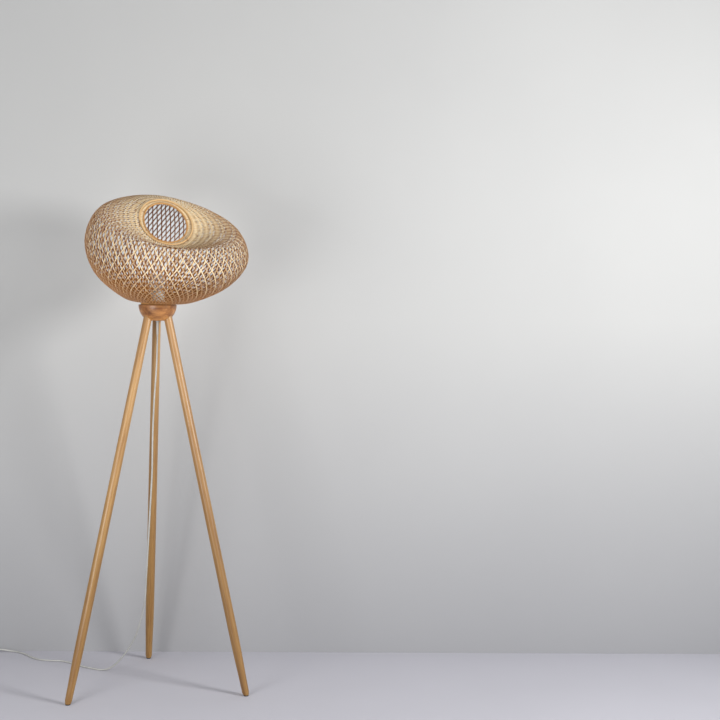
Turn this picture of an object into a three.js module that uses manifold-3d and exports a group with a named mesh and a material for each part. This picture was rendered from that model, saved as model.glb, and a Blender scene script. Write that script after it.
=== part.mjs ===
// A tripod floor lamp: three splayed wooden legs in a turned hub, and a leaning shade of
// woven bamboo that rolls in at the top to a round mouth. Millimetres, +Z up, floor at zero.
import * as THREE from 'three';
import { mergeVertices } from 'three/addons/utils/BufferGeometryUtils.js';
import Module from 'manifold-3d';

const wasm = await Module();
wasm.setup();

// Driving dimensions of the stand
const hubTopHeight = 1142;
const hubRadius = 56;
const hubHeight = 47;
const hubEdge = 1.5;
const footCircleRadius = 296;
const legApexRise = 105;
const legSeatDepth = 32;
const standTurn = THREE.MathUtils.degToRad(3.9);
const legNames = { left: 210, right: 330, back: 90 };
const legTopRadius = 12.3;
const legBellyRadius = 13.2;
const legFootRadius = 9.2;
const footTaperLength = 150;
const legEdge = 1.2;
const footRound = 6;
const padRadius = 7;
const padThickness = 3;
const padEdge = 0.6;

// Fixings between leg and hub
const studRadius = 4;
const studInLeg = 42;
const studChamfer = 0.8;
const insertRadius = 6;
const insertLength = 12;
const boreOverrun = 3;

// Driving dimensions of the shade
const bellyRadius = 235;
const shadeRise = 235;
const shadeLean = 84;
const mouthTilt = THREE.MathUtils.degToRad(61);
const leanTurn = THREE.MathUtils.degToRad(-70.5);
const mouthRadius = 63;
const hoopWire = 2.5;
const outerHoopShare = 0.95;
const shadeWall = 2.4;
const baseRingRise = 8;
const baseHoopRadius = 49.3;
const baseHoopThickness = 3;
const baseHoopHeight = 10;

// Driving dimensions of the lamp holder and bulb
const recessDepth = 20;
const recessRadius = 19.2;
const nippleRadius = 4.9;
const nippleBore = 3.9;
const nippleAboveFloor = 8;
const holderRadius = 18.6;
const holderWall = 2;
const holderFloor = 3;
const flangeRadius = 23;
const flangeThickness = 2.2;
const skirtRadius = 19.9;
const skirtHeight = 34;
const skirtWall = 4.6;
const skirtWebRise = 3;
const skirtWebThickness = 3;
const skirtWebBore = 5;
const clampRingRadius = 27;
const clampRingHeight = 7;
const clampRingHub = 22.6;
const clampRingLip = 2.4;
const clampRingEdge = 0.8;
const fitterThickness = 1.5;
const fitterRingWidth = 6.6;
const fitterArmWidth = 9;
const fitterRimThickness = 2;
const fitterRimHeight = 4;
const fitterArms = 3;
const insulatorRadius = 13.6;
const insulatorHeight = 3.6;
const insulatorBore = 1.6;
const screwShellRadius = 14.3;
const screwShellWall = 0.5;
const screwShellHeight = 22;
const tongueWidth = 5;
const tongueLength = 15;
const tongueThickness = 0.6;
const tongueRise = 2;
const tipRadius = 4.6;
const tipHeight = 1.6;
const capInsulatorHeight = 4;
const capRadius = 13;
const capWall = 0.6;
const capHeight = 21;
const bulbRadius = 22.5;
const bulbNeckRadius = 11.8;
const bulbNeckHeight = 8;
const bulbGlassWall = 0.9;

// Driving dimensions of the supply cord and what is on it
const cordDiameter = 5;
const washerRadius = 10;
const washerThickness = 1.5;
const nutFlats = 14;
const nutThickness = 3.5;
const counterboreRadius = 11;
const counterboreDepth = 6;
const gripNeck = 9;
const collarRadius = 6.5;
const collarThickness = 2.5;
const collarEdge = 0.6;
const reliefLength = 38;
const reliefRootRadius = 4.2;
const reliefTipRadius = 3.4;
const leadAboveFloor = 16;
const coilMeanRadius = 27.5;
const coilLoopsPerLayer = 2;
const coilSpacing = 5.6;
const coilClimbShare = 0.5;
const coilCentre = new THREE.Vector2(-612, 336);

// Driving dimensions of the foot switch
const switchLength = 72;
const switchWidth = 32;
const switchBaseHeight = 9;
const switchCoverHeight = 11;
const switchWall = 2;
const switchEdge = 2.5;
const switchEntryHeight = 9;
const switchPlace = new THREE.Vector2(-562, 410);
const switchReliefLength = 22;
const switchReliefRoot = 4.6;
const switchFlangeRadius = 5.6;
const buttonRadius = 10;
const buttonProud = 4.5;
const buttonCollar = 1.4;
const buttonEdge = 1.2;
const buttonDome = 0.6;
const springRadius = 5;
const springWire = 0.5;
const springTurns = 5;
const contactBlockLength = 30;
const contactBlockWidth = 16;
const contactBlockHeight = 4;
const coverScrewRadius = 1.5;
const coverScrewHead = 2.8;
const coverScrewHeadHeight = 1.8;
const coverScrewLength = 11;
const coverScrewBoss = 3.4;
const coverScrewInset = 9;

// Driving dimensions of the plug
const plugLength = 34;
const plugTailWidth = 14;
const plugWidth = 26;
const plugThickness = 13.6;
const plugEdge = 1.6;
const plugReliefLength = 26;
const plugReliefRoot = 5;
const pinRadius = 2;
const pinLength = 19;
const pinSpacing = 19;
const pinSeat = 5;
const pinTip = 0.6;
const tailLength = 42;

// Clearances, facet counts and finishes
const clearance = 0.3;
const weld = 0.0001;
const roundFacets = 40;
const turnedFacets = 24;
const smallFacets = 16;
const shadeFacets = 48;
const shadeSteps = 22;
const cordFacets = 8;
const coilFacets = 6;
const coilStepsPerLoop = 24;
const springFacets = 5;
const springStepsPerTurn = 8;
const arcSteps = 4;

function finish(color, roughness, metalness) {
  return new THREE.MeshStandardMaterial({ color, roughness, metalness });
}
const oakFinish = finish('#c8924f', 0.5, 0);
const walnutFinish = finish('#9a6638', 0.45, 0);
const bambooFinish = finish('#d8b27c', 0.6, 0);
const hoopFinish = finish('#c58f52', 0.55, 0);
const steelFinish = finish('#b9bbbd', 0.35, 1);
const brassFinish = finish('#c9a45a', 0.35, 1);
const whitePlasticFinish = finish('#ece9e2', 0.4, 0);
const ceramicFinish = finish('#f3f0ea', 0.3, 0);
const glassFinish = finish('#f7f6f1', 0.25, 0);
const cordFinish = finish('#cfcfca', 0.35, 0);
const rubberFinish = finish('#3a3733', 0.85, 0);

// Sizes that follow from the driving ones
const legApexHeight = hubTopHeight + legApexRise;
const legSplay = Math.atan(footCircleRadius / legApexHeight);
const legSeatHeight = hubTopHeight - legSeatDepth;
const legSeatRadius = (legApexHeight - legSeatHeight) * Math.tan(legSplay);
const footCutHeight = padThickness + clearance;
const footCutRadius = (legApexHeight - footCutHeight) * Math.tan(legSplay);
const legCutLength = (legSeatHeight - footCutHeight) / Math.cos(legSplay);
const hubBottomHeight = hubTopHeight - hubHeight;
const recessFloorHeight = hubTopHeight - recessDepth;
const weaveBaseRadius = baseHoopRadius + 2 * clearance;
const weaveMouthRadius = mouthRadius + 2 * hoopWire + 2 * clearance;
const cordRadius = cordDiameter / 2;
const cordRestHeight = cordRadius + clearance;
const cordExitHeight = hubBottomHeight - clearance - collarThickness - reliefLength;
const reliefTipFace = cordRadius + clearance;

// The shade's wall as a run of tilted circles from the base hoop over the belly to the mouth.
// rise, lean and tilt are shares of shadeRise, shadeLean and mouthTilt. girth is the share of
// the way out to the belly, from the base below it and from the mouth beyond it.
const shadeRingShares = [
  { rise: 0, lean: 0, tilt: 0, girth: 0 },
  { rise: 0.051, lean: 0.107, tilt: 0.144, girth: 0.312 },
  { rise: 0.319, lean: 0.424, tilt: 0.249, girth: 0.785 },
  { rise: 0.652, lean: 0.936, tilt: 0.3, girth: 1 },
  { rise: 0.96, lean: 1, tilt: 0.367, girth: 0.839 },
  { rise: 1, lean: 0.894, tilt: 0.546, girth: 0.472 },
  { rise: 0.974, lean: 0.824, tilt: 0.785, girth: 0.176 },
  { rise: 0.981, lean: 0.74, tilt: 1, girth: 0 },
];
const bellyRing = 3;
// The weave's lengths, each by the share of the wall where it ends.
const weaveEndShares = {
  foot: 0.22, body: bellyRing / (shadeRingShares.length - 1), shoulder: 0.64, crown: 1,
};
// Half of the fine gap between two lengths, on a run about twice the rise long.
const seamShare = clearance / (4 * shadeRise);

// Turns a mesh's triangles round if they face inwards.
function facingOut(geometry) {
  const at = geometry.getAttribute('position');
  const index = geometry.getIndex();
  const a = new THREE.Vector3();
  const b = new THREE.Vector3();
  const c = new THREE.Vector3();
  let volume = 0;
  for (let i = 0; i < index.count; i += 3) {
    a.fromBufferAttribute(at, index.getX(i));
    b.fromBufferAttribute(at, index.getX(i + 1));
    c.fromBufferAttribute(at, index.getX(i + 2));
    volume += a.dot(b.cross(c));
  }
  if (volume < 0) {
    const turned = Array.from(index.array);
    for (let i = 0; i < turned.length; i += 3) {
      [turned[i + 1], turned[i + 2]] = [turned[i + 2], turned[i + 1]];
    }
    geometry.setIndex(turned);
  }
  return geometry;
}

// Merges shared vertices and leaves out triangles that have shrunk to a line.
function welded(geometry) {
  const bare = geometry.clone();
  bare.deleteAttribute('normal');
  bare.deleteAttribute('uv');
  const merged = mergeVertices(bare, weld);
  const index = merged.getIndex().array;
  const kept = [];
  for (let i = 0; i < index.length; i += 3) {
    const [a, b, c] = [index[i], index[i + 1], index[i + 2]];
    if (a !== b && b !== c && c !== a) {
      kept.push(a, b, c);
    }
  }
  merged.setIndex(kept);
  return facingOut(merged);
}

function solidOf(geometry) {
  const closed = welded(geometry);
  const vertProperties = new Float32Array(closed.getAttribute('position').array);
  const triVerts = new Uint32Array(closed.getIndex().array);
  return new wasm.Manifold(new wasm.Mesh({ numProp: 3, vertProperties, triVerts }));
}

function geometryOf(solid) {
  const mesh = solid.getMesh();
  const geometry = new THREE.BufferGeometry();
  geometry.setAttribute('position', new THREE.BufferAttribute(mesh.vertProperties, mesh.numProp));
  geometry.setIndex(new THREE.BufferAttribute(mesh.triVerts, 1));
  return geometry;
}

function cutFrom(geometry, cutters) {
  let solid = solidOf(geometry);
  for (const cutter of cutters) {
    solid = solid.subtract(solidOf(cutter));
  }
  return geometryOf(solid);
}

function joined(geometries) {
  let solid = solidOf(geometries[0]);
  for (const other of geometries.slice(1)) {
    solid = solid.add(solidOf(other));
  }
  return geometryOf(solid);
}

// Revolves [radius, height] pairs about the Z axis.
function turned(profile, facets = turnedFacets) {
  const points = profile.map(([radius, height]) => new THREE.Vector2(radius, height));
  const geometry = new THREE.LatheGeometry(points, facets);
  geometry.rotateX(Math.PI / 2);
  return welded(geometry);
}

// A ring whose section is a rectangle.
function band(inner, outer, low, high, facets = turnedFacets) {
  return turned([[inner, low], [outer, low], [outer, high], [inner, high], [inner, low]], facets);
}

function rod(radius, low, high, facets = turnedFacets) {
  return turned([[0, low], [radius, low], [radius, high], [0, high]], facets);
}

function chamferedRod(radius, low, high, chamfer, facets = turnedFacets) {
  return turned([
    [0, low],
    [radius - chamfer, low],
    [radius, low + chamfer],
    [radius, high - chamfer],
    [radius - chamfer, high],
    [0, high],
  ], facets);
}

// Points of an arc in a profile, from one angle to the other, in radians.
function arc(centreRadius, centreHeight, radius, from, to, steps = arcSteps) {
  const points = [];
  for (let i = 0; i <= steps; i += 1) {
    const angle = from + (to - from) * (i / steps);
    points.push([centreRadius + radius * Math.cos(angle), centreHeight + radius * Math.sin(angle)]);
  }
  return points;
}

// Joins rings of points into one closed skin. A run that doesn't loop back gets flat ends.
function skin(rings, loopsBack) {
  const count = rings[0].length;
  const positions = rings.flat().flatMap((point) => point.toArray());
  const indices = [];
  const spans = loopsBack ? rings.length : rings.length - 1;
  for (let i = 0; i < spans; i += 1) {
    const here = i * count;
    const next = ((i + 1) % rings.length) * count;
    for (let j = 0; j < count; j += 1) {
      const k = (j + 1) % count;
      indices.push(here + j, here + k, next + k);
      indices.push(here + j, next + k, next + j);
    }
  }
  if (!loopsBack) {
    const end = (rings.length - 1) * count;
    for (let j = 1; j < count - 1; j += 1) {
      indices.push(0, j + 1, j);
      indices.push(end, end + j, end + j + 1);
    }
  }
  const geometry = new THREE.BufferGeometry();
  geometry.setAttribute('position', new THREE.Float32BufferAttribute(positions, 3));
  geometry.setIndex(indices);
  return facingOut(geometry);
}

// A tube through points. Its section stands square to the run between the neighbours.
function tubeThrough(points, radius, facets, loopsBack) {
  const up = new THREE.Vector3(0, 0, 1);
  const last = points.length - 1;
  const rings = points.map((point, i) => {
    const before = points[i > 0 ? i - 1 : (loopsBack ? last : i)];
    const after = points[i < last ? i + 1 : (loopsBack ? 0 : i)];
    const along = after.clone().sub(before).normalize();
    const side = along.clone().cross(up).normalize();
    const rise = side.clone().cross(along).normalize();
    const ring = [];
    for (let j = 0; j < facets; j += 1) {
      const angle = 2 * Math.PI * ((j + 0.5) / facets);
      ring.push(point.clone()
        .addScaledVector(side, radius * Math.cos(angle))
        .addScaledVector(rise, radius * Math.sin(angle)));
    }
    return ring;
  });
  return skin(rings, loopsBack);
}

// A round cord along a smooth curve through hand-chosen points.
function cordAlong(points, steps) {
  const section = new THREE.Shape();
  for (let j = 0; j < cordFacets; j += 1) {
    const angle = 2 * Math.PI * ((j + 0.5) / cordFacets);
    const x = cordRadius * Math.cos(angle);
    const y = cordRadius * Math.sin(angle);
    if (j === 0) {
      section.moveTo(x, y);
    } else {
      section.lineTo(x, y);
    }
  }
  section.closePath();
  const extrudePath = new THREE.CatmullRomCurve3(points);
  return welded(new THREE.ExtrudeGeometry(section, { steps, extrudePath, bevelEnabled: false }));
}

function part(name, geometry, material, parent) {
  const mesh = new THREE.Mesh(geometry, material);
  mesh.name = name;
  parent.add(mesh);
  return mesh;
}

// Where a leg sits: +Z runs up the leg's axis from its seat in the hub.
function legMatrix(turn) {
  const seat = new THREE.Matrix4().makeTranslation(legSeatRadius, 0, legSeatHeight);
  const lean = new THREE.Matrix4().makeRotationY(-legSplay);
  return new THREE.Matrix4().makeRotationZ(turn).multiply(seat).multiply(lean);
}

const legTurns = Object.entries(legNames).map(([name, degrees]) => {
  return { name, turn: THREE.MathUtils.degToRad(degrees) + standTurn };
});

// The turned hub: a half ball with a flat bottom, a recess for the lamp holder, and three
// angled sockets that the legs stand in.
function hubGeometry() {
  const flat = Math.sqrt(hubRadius ** 2 - hubHeight ** 2);
  const from = Math.asin(hubEdge / hubRadius);
  const to = Math.asin(hubHeight / hubRadius);
  const flank = arc(0, 0, hubRadius, -to, -from, 2 * arcSteps);
  const blank = turned([
    [0, -hubHeight],
    [flat, -hubHeight],
    ...flank.slice(1),
    [hubRadius - hubEdge, 0],
    [0, 0],
  ], roundFacets);
  blank.translate(0, 0, hubTopHeight);
  const cutters = [
    rod(recessRadius, recessFloorHeight, hubTopHeight + boreOverrun),
    rod(nippleRadius + clearance, hubBottomHeight - boreOverrun, hubTopHeight),
    rod(counterboreRadius, hubBottomHeight - boreOverrun, hubBottomHeight + counterboreDepth),
  ];
  for (const { turn } of legTurns) {
    const socket = rod(legTopRadius + clearance, -hubHeight, 0);
    const bore = rod(insertRadius + clearance, -boreOverrun, insertLength + clearance, smallFacets);
    cutters.push(socket.applyMatrix4(legMatrix(turn)));
    cutters.push(bore.applyMatrix4(legMatrix(turn)));
  }
  return cutFrom(blank, cutters);
}

// One leg along its own axis, bored for its stud, its foot cut level with the floor.
function legGeometry() {
  const end = -legCutLength - boreOverrun;
  const taperTop = -legCutLength + footTaperLength;
  const outline = new THREE.SplineCurve([
    new THREE.Vector2(legFootRadius, -legCutLength + footRound),
    new THREE.Vector2((legFootRadius + legBellyRadius) / 2, (taperTop - legCutLength) / 2),
    new THREE.Vector2(legBellyRadius, taperTop),
    new THREE.Vector2(legBellyRadius, -legCutLength / 2),
    new THREE.Vector2(legTopRadius, -legSeatDepth),
  ]);
  const side = outline.getPoints(2 * arcSteps).map((point) => [point.x, point.y]);
  const boreRadius = studRadius + clearance;
  const bored = turned([
    [0, end],
    [legFootRadius - footRound / 3, end],
    [legFootRadius - footRound / 8, -legCutLength + footRound / 2],
    ...side,
    [legTopRadius, -clearance - legEdge],
    [legTopRadius - legEdge, -clearance],
    [boreRadius, -clearance],
    [boreRadius, -studInLeg - clearance],
    [0, -studInLeg - clearance],
  ]);
  const reach = 4 * legFootRadius;
  const floorCut = new THREE.BoxGeometry(reach, reach, reach);
  floorCut.rotateY(legSplay);
  const drop = new THREE.Vector3(0, 0, -reach / 2).applyAxisAngle(new THREE.Vector3(0, 1, 0), legSplay);
  floorCut.translate(drop.x, drop.y, drop.z - legCutLength);
  return cutFrom(bored, [floorCut]);
}

function addLegs(stand) {
  const leg = legGeometry();
  const stud = chamferedRod(studRadius, -studInLeg, insertLength - clearance, studChamfer, smallFacets);
  const insert = band(studRadius + clearance, insertRadius, 0, insertLength, smallFacets);
  const pad = chamferedRod(padRadius, 0, padThickness, padEdge, smallFacets);
  for (const { name, turn } of legTurns) {
    const side = new THREE.Group();
    side.applyMatrix4(legMatrix(turn));
    stand.add(side);
    part(`leg_${name}`, leg, oakFinish, side);
    part(`leg_stud_${name}`, stud, steelFinish, side);
    part(`leg_insert_${name}`, insert, brassFinish, side);
    const foot = part(`foot_pad_${name}`, pad, rubberFinish, stand);
    foot.position.set(footCutRadius * Math.cos(turn), footCutRadius * Math.sin(turn), 0);
  }
}

// The shade's circle a share of the way along its wall, in the plane that it leans in.
const shadeCentreLine = new THREE.SplineCurve(shadeRingShares.map(({ lean, rise }) => {
  return new THREE.Vector2(shadeLean * lean, baseRingRise + shadeRise * rise);
}));
const shadeGirthLine = new THREE.SplineCurve(shadeRingShares.map(({ tilt, girth }, i) => {
  const inner = i <= bellyRing ? weaveBaseRadius : weaveMouthRadius;
  return new THREE.Vector2(mouthTilt * tilt, inner + (bellyRadius - inner) * girth);
}));

function shadeCircle(share) {
  const centre = shadeCentreLine.getPoint(share);
  const girth = shadeGirthLine.getPoint(share);
  return { lean: centre.x, rise: centre.y, tilt: girth.x, radius: girth.y };
}

// A point on a tilted circle: turn zero lies on the side that the shade leans to.
function onCircle({ lean, rise, tilt, radius }, turn) {
  const out = radius * Math.cos(turn);
  return new THREE.Vector3(
    lean + out * Math.cos(tilt),
    radius * Math.sin(turn),
    rise - out * Math.sin(tilt),
  );
}

// A point of the shade's wall, moved off its middle surface towards the outside.
function shadePoint(share, turn, off) {
  const step = 0.5 / shadeSteps;
  const low = onCircle(shadeCircle(Math.max(share - step, 0)), turn);
  const high = onCircle(shadeCircle(Math.min(share + step, 1)), turn);
  const circle = shadeCircle(share);
  const left = onCircle(circle, turn - step);
  const right = onCircle(circle, turn + step);
  const outward = right.sub(left).cross(high.sub(low)).normalize();
  return onCircle(circle, turn).addScaledVector(outward, off);
}

function shadeRow(share, off) {
  const row = [];
  for (let i = 0; i < shadeFacets; i += 1) {
    row.push(shadePoint(share, 2 * Math.PI * (i / shadeFacets), off));
  }
  return row;
}

// A length of the woven wall as one thin closed body, open at both of its ends.
function weaveGeometry(from, to) {
  const outside = [];
  const inside = [];
  const steps = Math.round((to - from) * shadeSteps);
  for (let i = 0; i <= steps; i += 1) {
    const share = from + (to - from) * (i / steps);
    outside.push(shadeRow(share, shadeWall / 2));
    inside.push(shadeRow(share, -shadeWall / 2));
  }
  return skin([...outside, ...inside.reverse()], true);
}

function addShade(head) {
  const shade = new THREE.Group();
  shade.position.z = hubTopHeight;
  shade.rotation.z = leanTurn;
  head.add(shade);
  let from = 0;
  for (const [name, end] of Object.entries(weaveEndShares)) {
    const to = end < 1 ? end - seamShare : end;
    part(`shade_weave_${name}`, weaveGeometry(from, to), bambooFinish, shade);
    from = end + seamShare;
  }

  const rim = shadeCircle(1);
  rim.radius = mouthRadius + hoopWire;
  const innerLine = [];
  const seat = shadeWall / 2 + clearance + hoopWire;
  for (let i = 0; i < shadeFacets; i += 1) {
    innerLine.push(onCircle(rim, 2 * Math.PI * (i / shadeFacets)));
  }
  part('mouth_hoop_inner', tubeThrough(innerLine, hoopWire, cordFacets, true), hoopFinish, shade);
  const outerLine = [];
  for (let i = 0; i < shadeFacets; i += 1) {
    outerLine.push(shadePoint(outerHoopShare, 2 * Math.PI * (i / shadeFacets), seat));
  }
  part('mouth_hoop_outer', tubeThrough(outerLine, hoopWire, cordFacets, true), hoopFinish, shade);

  const inner = baseHoopRadius - baseHoopThickness;
  const base = band(inner, baseHoopRadius, clearance, clearance + baseHoopHeight, shadeFacets);
  part('shade_base_hoop', base, hoopFinish, shade);
  part('shade_fitter', fitterGeometry(inner - clearance), steelFinish, shade);
}

// Heights in the lamp holder's stack, above the hub's top face.
const flangeLow = 2 * clearance;
const flangeHigh = flangeLow + flangeThickness;
const fitterLow = flangeHigh + clearance;
const fitterHigh = fitterLow + fitterThickness;
const skirtLow = flangeHigh + clearance;
const skirtHigh = skirtLow + skirtHeight;
const webLow = skirtLow + skirtWebRise;
const webHigh = webLow + skirtWebThickness;
const insulatorLow = webHigh + clearance;
const insulatorHigh = insulatorLow + insulatorHeight;
const tongueLow = insulatorHigh + clearance;
const tongueHigh = tongueLow + tongueThickness + tongueRise;
const shellLow = insulatorHigh + clearance;
const tipLow = tongueHigh + clearance;
const tipHigh = tipLow + tipHeight;
const capLow = tipHigh + capInsulatorHeight + clearance;
const capHigh = capLow + capHeight;

// The welded spider that carries the shade: a clamped ring, three arms and a rim.
function fitterGeometry(rimRadius) {
  const inner = skirtRadius + clearance;
  const ring = band(inner, inner + fitterRingWidth, fitterLow, fitterHigh, shadeFacets);
  const rimInner = rimRadius - fitterRimThickness;
  const rim = band(rimInner, rimRadius, fitterHigh - fitterRimHeight, fitterHigh, shadeFacets);
  const from = inner + fitterRingWidth / 2;
  const to = rimRadius - fitterRimThickness / 2;
  const pieces = [ring, rim];
  for (let i = 0; i < fitterArms; i += 1) {
    const arm = new THREE.BoxGeometry(to - from, fitterArmWidth, fitterThickness);
    arm.translate((from + to) / 2, 0, (fitterLow + fitterHigh) / 2);
    arm.rotateZ(2 * Math.PI * (i / fitterArms));
    pieces.push(arm);
  }
  return joined(pieces);
}

function addHolder(head) {
  const holder = new THREE.Group();
  holder.position.z = hubTopHeight;
  head.add(holder);
  const floor = -recessDepth + clearance;
  const bore = nippleRadius + clearance;
  part('holder_cap', turned([
    [bore, floor],
    [holderRadius - holderWall, floor],
    [holderRadius, floor + holderWall],
    [holderRadius, flangeLow],
    [flangeRadius, flangeLow],
    [flangeRadius, flangeHigh],
    [holderRadius - holderWall, flangeHigh],
    [holderRadius - holderWall, floor + holderFloor],
    [bore, floor + holderFloor],
    [bore, floor],
  ]), whitePlasticFinish, holder);
  const skirtInner = skirtRadius - skirtWall;
  part('holder_skirt', turned([
    [skirtWebBore, webLow],
    [skirtInner, webLow],
    [skirtInner, skirtLow],
    [skirtRadius, skirtLow],
    [skirtRadius, skirtHigh - clampRingEdge],
    [skirtRadius - clampRingEdge, skirtHigh],
    [skirtInner, skirtHigh],
    [skirtInner, webHigh],
    [skirtWebBore, webHigh],
    [skirtWebBore, webLow],
  ]), whitePlasticFinish, holder);
  const ringLow = fitterHigh + clearance;
  part('shade_clamp_ring', turned([
    [skirtRadius + clearance, ringLow],
    [clampRingRadius - clampRingEdge, ringLow],
    [clampRingRadius, ringLow + clampRingEdge],
    [clampRingRadius, ringLow + clampRingLip],
    [clampRingHub, ringLow + clampRingLip],
    [clampRingHub, ringLow + clampRingHeight - clampRingEdge],
    [clampRingHub - clampRingEdge, ringLow + clampRingHeight],
    [skirtRadius + clearance, ringLow + clampRingHeight],
    [skirtRadius + clearance, ringLow],
  ], roundFacets), whitePlasticFinish, holder);
  part('holder_insulator', band(insulatorBore, insulatorRadius, insulatorLow, insulatorHigh),
    ceramicFinish, holder);
  const shellInner = screwShellRadius - screwShellWall;
  const shellHigh = shellLow + screwShellHeight;
  part('holder_screw_shell', band(shellInner, screwShellRadius, shellLow, shellHigh),
    brassFinish, holder);
  part('holder_contact_tongue', tongueGeometry(), brassFinish, holder);
}

// The sprung tongue under the bulb: flat at its rivet and bent up to the middle.
function tongueGeometry() {
  const half = tongueLength / 2;
  const outline = new THREE.Shape();
  outline.moveTo(-half, tongueLow);
  outline.lineTo(0, tongueLow);
  outline.lineTo(half / 2, tongueLow + tongueRise);
  outline.lineTo(half, tongueLow + tongueRise);
  outline.lineTo(half, tongueHigh);
  outline.lineTo(half / 2, tongueHigh);
  outline.lineTo(0, tongueLow + tongueThickness);
  outline.lineTo(-half, tongueLow + tongueThickness);
  outline.closePath();
  const geometry = new THREE.ExtrudeGeometry(outline, { depth: tongueWidth, bevelEnabled: false });
  geometry.rotateX(Math.PI / 2);
  geometry.translate(-half / 2, tongueWidth / 2, 0);
  return welded(geometry);
}

// A small globe bulb with a screw cap, seated on the tongue.
function addBulb(head) {
  const bulb = new THREE.Group();
  bulb.position.z = hubTopHeight;
  head.add(bulb);
  part('bulb_contact', turned([
    [0, tipLow],
    [tipRadius - tipHeight / 2, tipLow],
    [tipRadius, tipLow + tipHeight / 2],
    [tipRadius, tipHigh],
    [0, tipHigh],
  ]), brassFinish, bulb);
  part('bulb_insulator', turned([
    [0, tipHigh + clearance],
    [tipRadius, tipHigh + clearance],
    [capRadius - capWall, tipHigh + capInsulatorHeight],
    [0, tipHigh + capInsulatorHeight],
  ]), rubberFinish, bulb);
  part('bulb_cap', band(capRadius - capWall, capRadius, capLow, capHigh), steelFinish, bulb);

  const neckLow = capHigh - bulbNeckHeight / 2;
  const neckHigh = neckLow + bulbNeckHeight;
  const centre = neckHigh + Math.sqrt(bulbRadius ** 2 - bulbNeckRadius ** 2);
  const inner = bulbRadius - bulbGlassWall;
  const innerNeck = bulbNeckRadius - bulbGlassWall;
  const outerFrom = -Math.acos(bulbNeckRadius / bulbRadius);
  const innerFrom = -Math.acos(innerNeck / inner);
  part('bulb_glass', turned([
    ...arc(0, centre, inner, innerFrom, Math.PI / 2, 2 * arcSteps).reverse(),
    [innerNeck, neckLow],
    [bulbNeckRadius, neckLow],
    ...arc(0, centre, bulbRadius, outerFrom, Math.PI / 2, 2 * arcSteps),
  ]), glassFinish, bulb);
}

// The threaded tube, its nut and washer, and the cord's way in under the hub.
function addCordEntry(stand) {
  const nippleLow = hubBottomHeight;
  const nippleHigh = recessFloorHeight + nippleAboveFloor;
  part('nipple_tube', band(nippleBore, nippleRadius, nippleLow, nippleHigh, smallFacets),
    steelFinish, stand);
  const washerHigh = hubBottomHeight + counterboreDepth - clearance;
  const washerLow = washerHigh - washerThickness;
  part('hub_washer', band(nippleRadius + clearance, washerRadius, washerLow, washerHigh),
    steelFinish, stand);
  const nutHigh = washerLow - clearance;
  const nut = rod(nutFlats / Math.sqrt(3), nutHigh - nutThickness, nutHigh, 6);
  const nutBore = rod(nippleRadius + clearance, nutHigh - 2 * nutThickness, nutHigh + nutThickness,
    smallFacets);
  part('hub_lock_nut', cutFrom(nut, [nutBore]), steelFinish, stand);

  const collarHigh = hubBottomHeight - clearance;
  const collarLow = collarHigh - collarThickness;
  const neckRadius = nippleBore - clearance;
  part('cord_grip', turned([
    [reliefTipFace, cordExitHeight],
    [reliefTipRadius, cordExitHeight],
    [reliefRootRadius, collarLow],
    [collarRadius - collarEdge, collarLow],
    [collarRadius, collarLow + collarEdge],
    [collarRadius, collarHigh],
    [neckRadius, collarHigh],
    [neckRadius, collarHigh + gripNeck],
    [reliefTipFace, collarHigh + gripNeck],
    [reliefTipFace, cordExitHeight],
  ]), glassFinish, stand);
  part('supply_lead', rod(cordRadius, cordExitHeight, recessFloorHeight + leadAboveFloor, smallFacets),
    cordFinish, stand);
}

// The foot switch's plan outline: straight sides and round ends.
function switchOutline(inset) {
  const round = switchWidth / 2 - inset;
  const reach = switchLength / 2 - switchWidth / 2;
  const outline = new THREE.Shape();
  outline.absarc(reach, 0, round, -Math.PI / 2, Math.PI / 2, false);
  outline.absarc(-reach, 0, round, Math.PI / 2, 3 * Math.PI / 2, false);
  outline.closePath();
  return outline;
}

// A block of the switch's outline whose one rim is bevelled.
function switchBlock(inset, low, high, edge) {
  const options = { depth: high - low, bevelEnabled: false, curveSegments: 2 * arcSteps };
  if (edge > 0) {
    options.depth = high - low - edge;
    options.bevelEnabled = true;
    options.bevelThickness = edge;
    options.bevelSize = edge;
    options.bevelOffset = -edge;
    options.bevelSegments = 3;
  }
  const block = new THREE.ExtrudeGeometry(switchOutline(inset), options);
  block.translate(0, 0, low);
  return welded(block);
}

function switchScrewPlaces() {
  const reach = switchLength / 2 - coverScrewInset;
  return [-reach, reach];
}

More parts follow.
